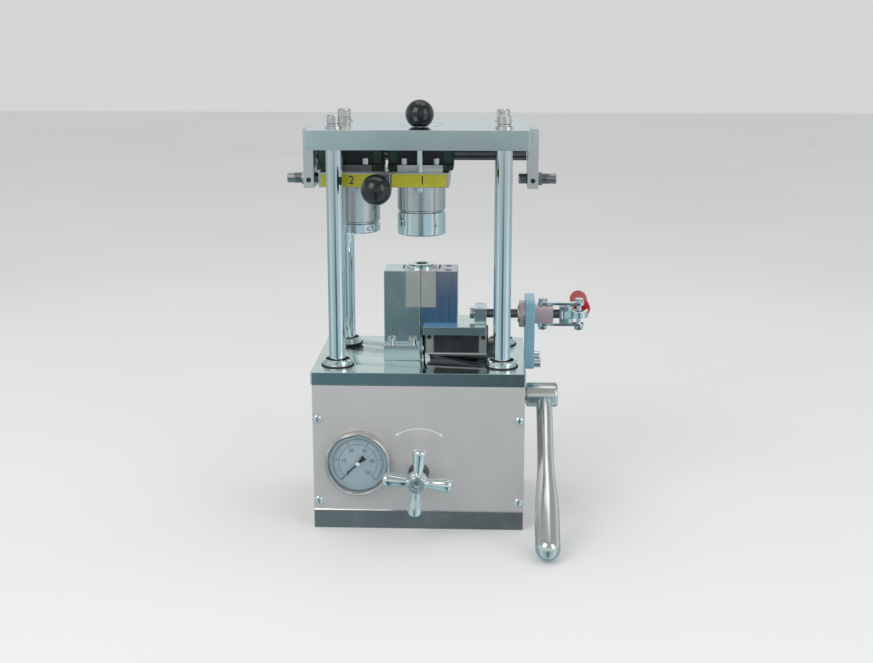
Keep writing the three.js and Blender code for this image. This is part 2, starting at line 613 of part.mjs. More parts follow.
// The pump's plunger is worked by a crank pin in the slot of its yoke.
function pump() {
  const { x, plunger, blockX, blockY, blockZ } = PUMP;
  const middleOfSwing = 0.933;
  const plungerY = LEVER.y - LEVER.crank * middleOfSwing;
  const manifold = cut(
    join(
      block(blockX, blockY, blockZ),
      block([blockX[1] - 9, blockX[1]], [blockY[0], 2], [blockZ[1] - 5, 130]),
      bar('y', 9, [-79, -45], [VALVE.x, VALVE.z]),
    ),
    bar('x', LEVER.shaft + FIT, [80, 100], [LEVER.y, LEVER.z]),
    bar('z', plunger + FIT, [48, blockZ[1] + 5], [x, plungerY]),
    bar('y', VALVE.stem + 0.6, [-80, -59], [VALVE.x, VALVE.z], SMALL),
  );
  place('pump_block', manifold, cast);
  const crankPinZ = LEVER.z - LEVER.crank * Math.sin(THREE.MathUtils.degToRad(LEVER.crankDrop));
  const yoke = cut(
    join(
      block([x - 4, x + 4], [plungerY - 9, plungerY + 9], [crankPinZ - 7, crankPinZ + 7]),
      bar('z', plunger, [52, crankPinZ - 6], [x, plungerY]),
    ),
    block([x - 7, x + 8], [plungerY - 5.8, plungerY + 5.8], [crankPinZ - 3.9, crankPinZ + 3.9]),
  );
  place('pump_plunger', yoke, ground);
}

// ---------------------------------------------------------------- pump lever
function pumpLever() {
  const { x, y, z, crank, crankDrop, restAngle, length, grip, shaft: shaftRadius } = LEVER;
  const drop = THREE.MathUtils.degToRad(crankDrop);
  const pinCentre = [y - crank * Math.cos(drop), z - crank * Math.sin(drop)];
  const arm = new THREE.BoxGeometry(6, crank, 9).translate(0, -crank / 2, 0);
  arm.rotateX(drop).translate(69, y, z);
  const shaft = join(
    bar('x', shaftRadius, [62, x + 7.3], [y, z]),
    solid(arm),
    bar('x', 3.5, [66, 82], pinCentre, SMALL),
  );
  place('lever_shaft', shaft, ground);
  const turn = THREE.MathUtils.degToRad(restAngle);
  const stemProfile = [
    [0, -8], [7.7, -8], [7.7, -70], [8, -88], [9.2, -108], [10.7, -125], [grip, -140], [grip, -length],
    ...ballProfile(grip, -length, -length, -1, 4).slice(1),
  ];
  const stem = new THREE.LatheGeometry(stemProfile.map(([r, h]) => new THREE.Vector2(r, h)), ROUND);
  stem.rotateX(Math.PI / 2).rotateX(-turn).translate(x, y, z);
  const bore = shaftRadius + 0.2;
  const [near, far] = [x - 17.4, x + 13.1];
  const boreEnd = x + 7.8;
  const socketProfile = [
    [bore, near], [11, near], [12, near + 1.2], [12, far - 2.3], [10.5, far], [0, far],
    [0, boreEnd], [bore, boreEnd], [bore, near],
  ];
  const boreSpace = bar('x', bore, [near - 3, boreEnd], [y, z]);
  const socket = turned('x', socketProfile, [y, z]);
  place('pump_lever', join(cut(solid(stem), boreSpace), socket), polished);
}

cabinet();
frame();
toolSlide();
indexPin();
stop('left', -1, STOP.leftTip);
stop('right', 1, HEAD_PLATES.right + HEAD.pitch + 0.2);
splitDie();
clampFrame();
plunger();
toggleLinks();
clampHandle();
gauge();
handwheelAndStem();
hydraulics();
pump();
pumpLever();

export default press;
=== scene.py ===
"""Looks of the manual hydraulic bench press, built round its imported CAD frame, with +Z up.

Shapes are drawn in millimetres, and mesh_of() turns them into metres. Most places come from the boxes of
the CAD nodes. The rest are named, or are written in the CAD frame's own millimetres.
"""

import math

import bmesh
import bpy
from mathutils import Matrix, Vector

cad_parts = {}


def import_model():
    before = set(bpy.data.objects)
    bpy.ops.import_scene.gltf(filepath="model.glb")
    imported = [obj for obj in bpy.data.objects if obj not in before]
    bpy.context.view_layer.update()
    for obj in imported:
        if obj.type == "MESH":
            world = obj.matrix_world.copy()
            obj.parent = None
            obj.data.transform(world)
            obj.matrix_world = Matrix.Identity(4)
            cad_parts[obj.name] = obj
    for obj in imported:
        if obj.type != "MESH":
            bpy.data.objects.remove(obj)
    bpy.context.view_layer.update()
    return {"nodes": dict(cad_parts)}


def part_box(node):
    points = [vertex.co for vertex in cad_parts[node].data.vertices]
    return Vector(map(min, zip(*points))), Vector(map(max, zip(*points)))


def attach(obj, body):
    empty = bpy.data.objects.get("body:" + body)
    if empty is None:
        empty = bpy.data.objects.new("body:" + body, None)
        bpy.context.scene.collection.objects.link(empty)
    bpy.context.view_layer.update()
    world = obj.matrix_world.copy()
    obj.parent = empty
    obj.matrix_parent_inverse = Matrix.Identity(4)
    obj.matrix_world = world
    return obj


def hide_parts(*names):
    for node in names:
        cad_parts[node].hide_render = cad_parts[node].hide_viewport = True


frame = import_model()
MM = 0.001
ROUND = 72
FINE = 120
SHARP = math.radians(32)
FRAME_BODY = "press_frame"


class Box:
    """The box of a CAD node at rest, in millimetres."""

    def __init__(self, node):
        low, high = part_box(node)
        self.x0, self.y0, self.z0 = low / MM
        self.x1, self.y1, self.z1 = high / MM
        self.x, self.y, self.z = (low + high) / 2 / MM


# ---------------------------------------------------------------- materials
class Shader:
    """A material being built, with short calls for the nodes that it uses."""

    def __init__(self, name, **values):
        self.material = bpy.data.materials.new(name)
        self.material.use_nodes = True
        self.nodes = self.material.node_tree.nodes
        self.links = self.material.node_tree.links
        self.surface = self.nodes["Principled BSDF"]
        for socket, value in values.items():
            self.surface.inputs[socket.replace("_", " ")].default_value = value
        self.place = self.nodes.new("ShaderNodeTexCoord").outputs["Object"]

    def noise(self, scale, detail=3.0, distortion=0.0):
        """Noise with its own frequency along each axis, per metre."""
        mapping = self.nodes.new("ShaderNodeMapping")
        mapping.inputs["Scale"].default_value = scale
        self.links.new(self.place, mapping.inputs["Vector"])
        noise = self.nodes.new("ShaderNodeTexNoise")
        noise.inputs["Scale"].default_value = 1.0
        noise.inputs["Detail"].default_value = detail
        noise.inputs["Distortion"].default_value = distortion
        self.links.new(mapping.outputs["Vector"], noise.inputs["Vector"])
        return noise.outputs["Fac"]

    def cells(self, scale):
        """Cell distance, for cast skin, moulded grain and specks."""
        cells = self.nodes.new("ShaderNodeTexVoronoi")
        cells.inputs["Scale"].default_value = scale
        self.links.new(self.place, cells.inputs["Vector"])
        return cells.outputs["Distance"]

    def along(self, axis, low, high):
        """0 to 1 between two places along an axis, in metres."""
        split = self.nodes.new("ShaderNodeSeparateXYZ")
        self.links.new(self.place, split.inputs[0])
        return self.spread(split.outputs[axis], 0.0, 1.0, low, high)

    def spread(self, value, low, high, start=0.3, end=0.7):
        """The part of value between start and end, spread from low to high."""
        spread = self.nodes.new("ShaderNodeMapRange")
        self.links.new(value, spread.inputs["Value"])
        spread.inputs["From Min"].default_value = start
        spread.inputs["From Max"].default_value = end
        spread.inputs["To Min"].default_value = low
        spread.inputs["To Max"].default_value = high
        return spread.outputs["Result"]

    def sum(self, first, second, kind="ADD"):
        math_node = self.nodes.new("ShaderNodeMath")
        math_node.operation = kind
        self.links.new(first, math_node.inputs[0])
        self.links.new(second, math_node.inputs[1])
        return math_node.outputs[0]

    def colours(self, value, *stops):
        """A colour ramp with its stops evenly spaced over 0.3 to 0.7 of value."""
        ramp = self.nodes.new("ShaderNodeValToRGB")
        elements = ramp.color_ramp.elements
        while len(elements) < len(stops):
            elements.new(0.5)
        for i, colour in enumerate(stops):
            elements[i].position = 0.3 + 0.4 * i / (len(stops) - 1)
            elements[i].color = (*colour, 1.0)
        self.links.new(value, ramp.inputs["Fac"])
        return ramp.outputs["Color"]

    def set(self, socket, value):
        self.links.new(value, self.surface.inputs[socket])

    def bump(self, height, depth, strength=1.0):
        """Bump whose full height is depth in millimetres."""
        bump = self.nodes.new("ShaderNodeBump")
        bump.inputs["Strength"].default_value = strength
        bump.inputs["Distance"].default_value = depth * MM
        self.links.new(height, bump.inputs["Height"])
        self.links.new(bump.outputs["Normal"], self.surface.inputs["Normal"])


BRUSHED_X = (18, 1800, 1800)
BRUSHED_Z = (1800, 1800, 18)
TURNED_Z = (25, 25, 4200)
TURNED_X = (4200, 25, 25)
TURNED_Y = (25, 4200, 25)


def metal(name, light, dark, roughness, grain, depth, smudge=0.05, metallic=1.0):
    """Bare or plated metal: cloudy tone, directional grain, and smudges that dull it here and there."""
    shader = Shader(name, Metallic=metallic)
    grain_height = shader.noise(grain, 2.0)
    cloud = shader.noise((14, 14, 14), 4.0, 0.4)
    shader.set("Base Color", shader.colours(cloud, dark, light))
    smudges = shader.spread(shader.noise((45, 45, 45), 5.0, 0.8), 0.0, smudge, 0.45, 0.75)
    fine = shader.spread(grain_height, roughness * 0.88, roughness * 1.12)
    shader.set("Roughness", shader.sum(fine, smudges))
    shader.bump(grain_height, depth)
    return shader.material


def painted_reflection_plating(name):
    """Bright blue to violet plating with a painted reflection: its tone shifts with height up the block,
    deeper towards the bottom.
    """
    block = Box("moving_die_block")
    shader = Shader(name, Metallic=1.0)
    grain = shader.noise(BRUSHED_Z, 2.0)
    # Painted reflection: the tone below follows the height up the moving die block, blue at the bottom and
    # violet at the top.
    height = shader.along("Z", block.z0 * MM, block.z1 * MM)
    side = shader.spread(shader.noise((30, 30, 8), 2.0, 0.3), -0.08, 0.08)
    film = shader.spread(shader.sum(height, side), 0.3, 0.7, 0.0, 1.0)
    blue, slate, violet = (0.18, 0.36, 0.60), (0.26, 0.36, 0.58), (0.50, 0.50, 0.60)
    shader.set("Base Color", shader.colours(film, blue, slate, violet))
    shader.set("Roughness", shader.spread(grain, 0.16, 0.27))
    shader.bump(grain, 0.002)
    return shader.material


def oxide_black(name, tone=0.018, gloss=0.38):
    """Black oxide on steel, slightly uneven, with pale rubbed specks."""
    shader = Shader(name, Metallic=0.35)
    cloud = shader.noise((60, 60, 60), 5.0)
    deep = (tone, tone, tone * 1.1)
    pale = (tone * 2.2, tone * 2.3, tone * 2.5)
    shader.set("Base Color", shader.colours(cloud, deep, pale))
    shader.set("Roughness", shader.spread(cloud, gloss - 0.06, gloss + 0.12))
    shader.bump(shader.noise((1500, 1500, 1500), 2.0), 0.006)
    return shader.material


def moulded(name, deep, pale, roughness, grain_depth=0.012, coat=0.0):
    """Moulded plastic: a fine pebbled grain, a faint flow of tone and small rubs."""
    shader = Shader(name, Coat_Weight=coat, Coat_Roughness=0.04)
    flow = shader.noise((26, 26, 26), 4.0, 1.2)
    rubs = shader.noise((900, 120, 900), 3.0, 0.5)
    shader.set("Base Color", shader.colours(flow, deep, pale))
    wear = shader.sum(flow, rubs, "MULTIPLY")
    shader.set("Roughness", shader.spread(wear, roughness, roughness + 0.14, 0.1, 0.5))
    shader.bump(shader.cells(1600), grain_depth, 0.5)
    return shader.material


def red_vinyl(name):
    """Dipped red vinyl, glossy and a little translucent."""
    shader = Shader(name, Specular_IOR_Level=0.3, Subsurface_Weight=0.15, Subsurface_Scale=0.003)
    flow = shader.noise((60, 18, 60), 4.0, 0.6)
    shader.set("Base Color", shader.colours(flow, (0.42, 0.008, 0.014), (0.55, 0.02, 0.03)))
    shader.set("Roughness", shader.spread(flow, 0.4, 0.52))
    shader.bump(shader.noise((260, 90, 260), 3.0), 0.04, 0.6)
    return shader.material


def dial_print(name):
    """Pale blue printed aluminium, a little deeper in places."""
    shader = Shader(name, Metallic=0.1)
    cloud = shader.noise((40, 40, 40), 3.0)
    shader.set("Base Color", shader.colours(cloud, (0.40, 0.52, 0.58), (0.46, 0.59, 0.65)))
    shader.set("Roughness", shader.spread(cloud, 0.42, 0.58))
    shader.bump(shader.noise((2400, 2400, 2400), 2.0), 0.003)
    return shader.material


def clear_glass(name):
    """Clear window glass with faint wipe marks."""
    shader = Shader(name, Transmission_Weight=1.0, IOR=1.12, Specular_IOR_Level=0.7)
    wipes = shader.noise((300, 30, 60), 4.0, 1.0)
    shader.set("Base Color", shader.colours(wipes, (0.96, 0.98, 0.98), (1.0, 1.0, 1.0)))
    shader.set("Roughness", shader.spread(wipes, 0.0, 0.03, 0.5, 0.8))
    return shader.material


def printed_film(name):
    """Olive yellow printed film, slightly scuffed."""
    shader = Shader(name, Coat_Weight=0.25, Coat_Roughness=0.2)
    scuffs = shader.noise((70, 400, 260), 5.0, 0.6)
    shader.set("Base Color", shader.colours(scuffs, (0.40, 0.39, 0.006), (0.50, 0.48, 0.016)))
    shader.set("Roughness", shader.spread(scuffs, 0.32, 0.5))
    shader.bump(scuffs, 0.006, 0.5)
    return shader.material


def ink(name, deep, pale):
    """Screen-printed ink with slightly uneven cover."""
    shader = Shader(name)
    cover = shader.noise((700, 700, 700), 3.0)
    shader.set("Base Color", shader.colours(cover, deep, pale))
    shader.set("Roughness", shader.spread(cover, 0.42, 0.6))
    return shader.material


def cast_skin(name):
    """Painted cast iron with a pebbled skin."""
    shader = Shader(name, Metallic=0.3)
    skin_height = shader.cells(420)
    cloud = shader.noise((30, 30, 30), 5.0)
    shader.set("Base Color", shader.colours(cloud, (0.10, 0.12, 0.13), (0.17, 0.19, 0.20)))
    shader.set("Roughness", shader.spread(cloud, 0.55, 0.75))
    shader.bump(skin_height, 0.08)
    return shader.material


PLATED_LIGHT = (0.66, 0.77, 0.78)
PLATED_DARK = (0.56, 0.68, 0.70)
CHROME_LIGHT = (0.80, 0.85, 0.86)
CHROME_DARK = (0.71, 0.77, 0.79)
GROUND_PALE = (0.78, 0.79, 0.77)
GROUND_LIGHT = (0.68, 0.68, 0.67)
GROUND_DARK = (0.57, 0.58, 0.58)
STAINLESS_LIGHT = (0.71, 0.68, 0.67)
STAINLESS_DARK = (0.67, 0.64, 0.63)
DARK_LIGHT = (0.17, 0.18, 0.19)
DARK_DEEP = (0.09, 0.10, 0.11)
ZINC_LIGHT = (0.42, 0.70, 0.86)
ZINC_DARK = (0.36, 0.62, 0.78)
SATIN_LIGHT = (0.74, 0.76, 0.75)
SATIN_DARK = (0.66, 0.68, 0.67)
BOLT_LIGHT = (0.76, 0.73, 0.72)
BOLT_DARK = (0.66, 0.63, 0.62)
SLEEVE_LIGHT = (0.74, 0.73, 0.70)
SLEEVE_DARK = (0.66, 0.65, 0.63)
WARM_LIGHT = (0.76, 0.60, 0.61)
WARM_DARK = (0.66, 0.52, 0.54)
LIP_LIGHT = (0.68, 0.62, 0.61)
LIP_DARK = (0.58, 0.53, 0.52)

plating = metal("polished_plating", PLATED_LIGHT, PLATED_DARK, 0.11, BRUSHED_X, 0.0006)
plating_upright = metal("polished_plating_upright", PLATED_LIGHT, PLATED_DARK, 0.17, BRUSHED_Z, 0.0012)
# Blue plating with a painted reflection that shifts with height.
plating_with_painted_reflection = painted_reflection_plating("painted_reflection_plating")
chrome_z = metal("chrome_turned_z", CHROME_LIGHT, CHROME_DARK, 0.055, TURNED_Z, 0.0003, 0.03)
chrome_x = metal("chrome_turned_x", CHROME_LIGHT, CHROME_DARK, 0.07, TURNED_X, 0.0003, 0.04)
chrome_y = metal("chrome_turned_y", CHROME_LIGHT, CHROME_DARK, 0.07, TURNED_Y, 0.0003, 0.04)
chrome_cast = metal("chrome_on_casting", CHROME_LIGHT, CHROME_DARK, 0.075, (300, 300, 300), 0.006, 0.05)
ground_z = metal("ground_turned_z", GROUND_LIGHT, GROUND_DARK, 0.2, TURNED_Z, 0.0007, 0.06)
ground_flat = metal("ground_flat", GROUND_LIGHT, GROUND_DARK, 0.26, BRUSHED_X, 0.0008, 0.06)
ground_upright = metal("ground_upright", GROUND_PALE, GROUND_LIGHT, 0.3, BRUSHED_Z, 0.0008, 0.06, 0.85)
zinc_blue = metal("zinc_blue", ZINC_LIGHT, ZINC_DARK, 0.3, BRUSHED_Z, 0.0008, 0.06, 0.72)
satin_chrome = metal("satin_chrome", SATIN_LIGHT, SATIN_DARK, 0.2, (200, 200, 200), 0.002, 0.05)
bolt_chrome = metal("bolt_chrome", BOLT_LIGHT, BOLT_DARK, 0.2, TURNED_Z, 0.0005, 0.05)
sleeve_steel = metal("sleeve_steel", SLEEVE_LIGHT, SLEEVE_DARK, 0.24, BRUSHED_Z, 0.0006, 0.05, 0.8)
warm_steel = metal("warm_ground_steel", WARM_LIGHT, WARM_DARK, 0.28, BRUSHED_Z, 0.0008, 0.06, 0.8)
stainless = metal("satin_stainless", STAINLESS_LIGHT, STAINLESS_DARK, 0.42, BRUSHED_X, 0.0012, 0.03, 0.55)
stainless_lip = metal("polished_stainless", LIP_LIGHT, LIP_DARK, 0.22, BRUSHED_X, 0.0006, 0.05)
bezel_steel = metal("bezel_steel", (0.74, 0.72, 0.70), (0.66, 0.645, 0.63), 0.17, TURNED_Y, 0.0005, 0.05)
bolt_steel = metal("bolt_steel", (0.42, 0.43, 0.44), (0.28, 0.29, 0.30), 0.24, TURNED_X, 0.001, 0.08)
steel_dark_x = metal("dark_steel_x", DARK_LIGHT, DARK_DEEP, 0.26, TURNED_X, 0.001, 0.1)
steel_dark_flat = metal("dark_steel_flat", (0.22, 0.21, 0.21), (0.13, 0.13, 0.14), 0.3, BRUSHED_X, 0.001, 0.1)
black_oxide = oxide_black("black_oxide")
phenolic = moulded("black_phenolic", (0.005, 0.006, 0.008), (0.010, 0.011, 0.014), 0.1, 0.002, 0.25)
green_plastic = moulded("green_plastic", (0.012, 0.045, 0.034), (0.022, 0.072, 0.052), 0.38)
grey_plastic = moulded("grey_green_plastic", (0.20, 0.25, 0.24), (0.27, 0.32, 0.30), 0.42)
rubber = moulded("seal_rubber", (0.012, 0.012, 0.013), (0.024, 0.024, 0.025), 0.55)
red = red_vinyl("red_vinyl")
dial_blue = dial_print("dial_print")
glass = clear_glass("window_glass")
yellow_film = printed_film("yellow_film")
black_ink = ink("black_ink", (0.012, 0.013, 0.016), (0.03, 0.032, 0.04))
blue_ink = ink("blue_ink", (0.02, 0.05, 0.20), (0.035, 0.075, 0.27))
white_ink = ink("white_ink", (0.74, 0.75, 0.75), (0.84, 0.85, 0.85))
casting = cast_skin("cast_skin")


# ---------------------------------------------------------------- shapes, in millimetres
def placed(axis, at, a, b, height):
    """A point given across and along an axis, moved to the centre line through at."""
    along = {"z": (a, b, height), "x": (height, a, b), "y": (a, height, b)}[axis]
    return Vector(along) + Vector(at)


def skin(rings, closed=False):
    """The surface through rings of points. Its ends are capped unless the last ring meets the first."""
    count = len(rings[0])
    points = [point for ring in rings for point in ring]
    faces = []
    for i in range(len(rings) if closed else len(rings) - 1):
        low, high = i * count, (i + 1) % len(rings) * count
        for j in range(count):
            k = (j + 1) % count
            faces.append((low + j, low + k, high + k, high + j))
    if not closed:
        faces.append(tuple(reversed(range(count))))
        faces.append(tuple(range(len(points) - count, len(points))))
    return points, faces


def hexagonal(angle):
    """How far a hexagon's side is from its centre at an angle, for a corner at distance 1."""
    return math.cos(math.radians(30)) / math.cos(angle % math.radians(60) - math.radians(30))


def turned(profile, axis="z", at=(0, 0, 0), steps=ROUND, closed=False):
    """A turned solid. A profile row is (radius, distance along the axis), and "hex" where it is hexagonal."""
    rings = []
    for radius, height, *shape in profile:
        ring = []
        for i in range(steps):
            angle = 2 * math.pi * i / steps
            reach = radius * (hexagonal(angle) if shape else 1)
            ring.append(placed(axis, at, reach * math.cos(angle), reach * math.sin(angle), height))
        rings.append(ring)
    return skin(rings, closed)


def prism(outline, span, axis="z", at=(0, 0, 0)):
    """A straight solid over an outline."""
    return skin([[placed(axis, at, a, b, height) for a, b in outline] for height in span])


def rectangle(a0, a1, b0, b1, radius=0.0, steps=6):
    """An outline with round corners, or square ones where the radius is 0."""
    if not radius:
        return [(a0, b0), (a1, b0), (a1, b1), (a0, b1)]
    left, right, low, high = a0 + radius, a1 - radius, b0 + radius, b1 - radius
    centres = [(right, high), (left, high), (left, low), (right, low)]
    points = []
    for quarter, (a, b) in enumerate(centres):
        for i in range(steps + 1):
            angle = math.pi / 2 * (quarter + i / steps)
            points.append((a + radius * math.cos(angle), b + radius * math.sin(angle)))
    return points


def block(x0, x1, y0, y1, z0, z1):
    return prism(rectangle(x0, x1, y0, y1), (z0, z1))


def arc(radius, start, end, steps, centre=(0, 0)):
    """Points on an arc, from one angle to another in degrees."""
    turns = [math.radians(start + (end - start) * i / steps) for i in range(steps + 1)]
    return [(centre[0] + radius * math.cos(t), centre[1] + radius * math.sin(t)) for t in turns]


def thread(radius, start, end, pitch=1.25, depth=0.7, axis="x", at=(0, 0, 0), steps=48):
    """A bar with a screw thread cut on it, which fades out at both ends."""
    rows = int(abs(end - start) / pitch * 6)
    rings = []
    for row in range(rows + 1):
        height = start + (end - start) * row / rows
        fade = min(1.0, row / 5, (rows - row) / 5)
        ring = []
        for i in range(steps):
            angle = 2 * math.pi * i / steps
            groove = abs(2 * ((height / pitch - i / steps) % 1) - 1)
            reach = radius - depth * (groove * fade + 0.6 * (1 - fade))
            ring.append(placed(axis, at, reach * math.cos(angle), reach * math.sin(angle), height))
        rings.append(ring)
    return skin(rings)


def moved(part, matrix):
    points, faces = part
    return [matrix @ point for point in points], faces


def mesh_of(name, parts):
    """A mesh in metres from parts in millimetres, with its faces turned outwards."""
    build = bmesh.new()
    for points, faces in parts:
        corners = [build.verts.new(Vector(point) * MM) for point in points]
        for face in faces:
            build.faces.new([corners[i] for i in face])
    bmesh.ops.recalc_face_normals(build, faces=build.faces)
    mesh = bpy.data.meshes.new(name)
    build.to_mesh(mesh)
    build.free()
    return mesh


def bare(name, parts):
    obj = bpy.data.objects.new(name, mesh_of(name, parts))
    bpy.context.scene.collection.objects.link(obj)
    return obj


def carve(obj, parts):
    """Cuts parts out of a piece and keeps the result as its mesh."""
    tool = bare("tool", parts)
    change = obj.modifiers.new("carve", "BOOLEAN")
    change.operation = "DIFFERENCE"
    change.solver = "EXACT"
    change.object = tool
    ready = obj.evaluated_get(bpy.context.evaluated_depsgraph_get())
    carved = bpy.data.meshes.new_from_object(ready)
    obj.modifiers.clear()
    obj.data = carved
    bpy.data.objects.remove(tool)


def round_edges(obj, bevel):
    """A small round on every edge that is sharper than SHARP."""
    edges = obj.modifiers.new("edges", "BEVEL")
    edges.width = bevel * MM
    edges.segments = 2
    edges.limit_method = "ANGLE"
    edges.angle_limit = SHARP
    edges.harden_normals = True


def soften(obj, bevel):
    """Smooth shading, and round edges where there is a bevel."""
    obj.data.polygons.foreach_set("use_smooth", [True] * len(obj.data.polygons))
    obj.data.set_sharp_from_angle(angle=SHARP)
    if bevel:
        round_edges(obj, bevel)


def piece(name, parts, material, body, replaces=(), bevel=0.25, cuts=()):
    """A visible piece: its parts joined in one mesh, cut, softened, finished and set to ride on its body."""
    obj = bare(name, parts)
    for cut in cuts:
        carve(obj, [cut])
    obj.data.materials.clear()
    obj.data.materials.append(material)
    soften(obj, bevel)
    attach(obj, body)
    if replaces:
        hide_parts(*replaces)
    return obj


def dress(node, material, bevel=0.4):
    """A CAD node that keeps its shape: it gets its finish, and a small round on its edges."""
    obj = frame["nodes"][node]
    obj.data.materials.clear()
    obj.data.materials.append(material)
    weld = obj.modifiers.new("weld", "WELD")
    weld.merge_threshold = 0.002 * MM
    flatten = obj.modifiers.new("flatten", "DECIMATE")
    flatten.decimate_type = "DISSOLVE"
    flatten.angle_limit = math.radians(1)
    round_edges(obj, bevel)


# ---------------------------------------------------------------- fasteners
def cap_screw(radius, height, axis="z", at=(0, 0, 0), way=1, socket=0.52):
    """A socket head cap screw standing on at: a chamfered head with a hexagonal socket."""
    rows = [
        (radius * 0.9, 0), (radius, radius * 0.06), (radius, height - radius * 0.16), (radius * 0.86, height),
        (radius * (socket + 0.08), height), (radius * socket, height - radius * 0.08, "hex"),
        (radius * socket, height * 0.42, "hex"), (radius * 0.08, height * 0.34),
    ]
    return turned([(row[0], way * row[1], *row[2:]) for row in rows], axis, at, 48)


def countersunk(radius, axis="z", at=(0, 0, 0), way=1, sink=0.35):
    """A flush countersunk socket screw: a flat ring just under the surface and a deep hexagonal socket."""
    rows = [
        (radius, -2.0), (radius, -sink), (radius * 0.6, -sink),
        (radius * 0.54, -sink - 0.2, "hex"), (radius * 0.5, -1.8, "hex"),
    ]
    return turned([(row[0], way * row[1], *row[2:]) for row in rows], axis, at, 48)


def pan_head(name, radius, at, body):
    """A domed panel screw on a front face, with a cross recess."""
    x, y, z = at
    dome = [(radius * 0.96, 0), (radius, -0.35)]
    dome += [(radius * math.cos(t), -0.35 - 2.2 * math.sin(t)) for t in (0.35, 0.65, 0.95, 1.2, 1.4)]
    reach, half = radius * 0.62, 0.55
    front, floor_of_cross = y - 4, y - 1.3
    cross = [
        block(x - reach, x + reach, front, floor_of_cross, z - half, z + half),
        block(x - half, x + half, front, floor_of_cross, z - reach, z + reach),
    ]
    return piece(name, [turned(dome, "y", at, 48)], chrome_y, body, bevel=0.08, cuts=cross)


# ---------------------------------------------------------------- cabinet and plates
def cabinet():
    dress("base_cabinet", stainless_lip, 0.5)
    dress("bottom_plate", stainless, 0.3)
    dress("front_panel", stainless, 0.35)
    panel = Box("front_panel")
    screw_inset = 4.7
    for name, x in (("left", panel.x0 + screw_inset), ("right", panel.x1 - screw_inset)):
        for level, z in (("lower", panel.z0 + 9.5), ("upper", panel.z1 - 32.5)):
            pan_head(f"panel_screw_{level}_{name}", 4.2, (x, panel.y0, z), FRAME_BODY)
    lip_top = panel.z0 - 0.4
    outline = [(panel.y0 - 0.8, lip_top), (panel.y0 + 0.2, lip_top), (panel.y0 + 0.2, lip_top + 1.3)]
    ledge = prism(outline, (panel.x0 + 0.4, panel.x1 - 0.4), "x")
    piece("panel_lower_edge", [ledge], bolt_chrome, FRAME_BODY, bevel=0)
    arc_arrow(panel)


def arc_arrow(panel):
    """The double-headed arrow over the handwheel, printed on the panel."""
    valve = Box("valve_stem")
    radius, half_turn, width = 39.0, 30.5, 0.9
    centre = (valve.x + 0.5, valve.z + 4.2)
    outer = arc(radius + width / 2, 90 - half_turn, 90 + half_turn, 40, centre)
    inner = arc(radius - width / 2, 90 + half_turn, 90 - half_turn, 40, centre)
    span = (panel.y0 - 0.06, panel.y0 + 0.05)
    parts = [prism(outer + inner, span, "y")]
    for side in (-1, 1):
        angle = math.radians(90 - side * half_turn)
        tip_angle = math.radians(90 - side * (half_turn + 4.5))
        tip = (centre[0] + radius * math.cos(tip_angle), centre[1] + radius * math.sin(tip_angle))
        foot = [
            (centre[0] + reach * math.cos(angle), centre[1] + reach * math.sin(angle))
            for reach in (radius - 2.2, radius + 2.2)
        ]
        parts.append(prism([tip, *foot], span, "y"))
    piece("arc_arrow", parts, white_ink, FRAME_BODY, bevel=0)


def plates():
    dress("base_plate", plating, 0.7)
    top = Box("top_plate")
    pin = Box("index_pin")
    outline = rectangle(top.x0, top.x1, top.y0, top.y1, 1.2)
    plate = [prism(outline, (top.z0, top.z1))]
    well = 2.9
    wells = [(side * x, y) for side in (-1, 1) for x, y in ((19, -1), (14.5, -27), (13, 23))]
    cuts = [turned([(3.1, top.z0 - 1), (3.1, top.z1 + 1)], at=(pin.x, pin.y, 0))]
    cuts += [turned([(well, top.z1 - 3.2), (well, top.z1 + 1)], at=(x, y, 0), steps=40) for x, y in wells]
    piece("top_plate_body", plate, plating, FRAME_BODY, ["top_plate"], 0.7, cuts)
    screws = [cap_screw(well - 0.25, 2.6, at=(x, y, top.z1 - 3.1)) for x, y in wells]
    piece("rail_screws", screws, ground_z, FRAME_BODY, bevel=0.1)


def columns():
    base_top = Box("base_plate").z1
    for corner in ("front_left", "front_right", "back_left", "back_right"):
        column = Box("column_" + corner)
        radius = (column.x1 - column.x0) / 2
        bar = turned([(radius, base_top), (radius, column.z1)], at=(column.x, column.y, 0), steps=FINE)
        name = f"column_{corner}_bar"
        piece(name, [bar], chrome_z, FRAME_BODY, ["column_" + corner], 0.3)
        collar(corner)
        column_bolt(corner)


def collar(corner):
    """A cupped foot ring with a fine groove round it and a dark seal in its recess."""
    box = Box("column_collar_" + corner)
    centre = (box.x, box.y, box.z0)
    outer = (box.x1 - box.x0) / 2
    height = box.z1 - box.z0
    rows = [
        (8.3, 0), (outer, 0), (outer, 1.6), (outer - 0.5, 2.0), (outer - 0.5, 2.5), (outer, 2.9),
        (outer, height - 0.9), (outer - 0.9, height), (outer - 2.1, height), (outer - 2.5, height - 0.4),
        (outer - 2.5, 3.2), (8.3, 3.2),
    ]
    ring = turned(rows, at=centre, steps=FINE, closed=True)
    node = "column_collar_" + corner
    piece(f"collar_{corner}", [ring], chrome_z, FRAME_BODY, [node], 0.15)
    seal = turned([(8.1, 3.2), (11.3, 3.2), (11.3, 3.9), (8.1, 4.6)], at=centre, closed=True)
    piece(f"collar_seal_{corner}", [seal], rubber, FRAME_BODY, bevel=0.1)
    # Painted shadow and reflection: a dark rubber ring round the collar's foot stands in for the collar's
    # shadow and its reflection on the plate.
    rows = [(outer - 0.6, 0), (outer + 1.8, 0), (outer + 1.5, 0.9), (outer - 0.6, 0.9)]
    foot_shadow_ring = turned(rows, at=centre, closed=True)
    piece(f"collar_gasket_{corner}", [foot_shadow_ring], rubber, FRAME_BODY, bevel=0.1)


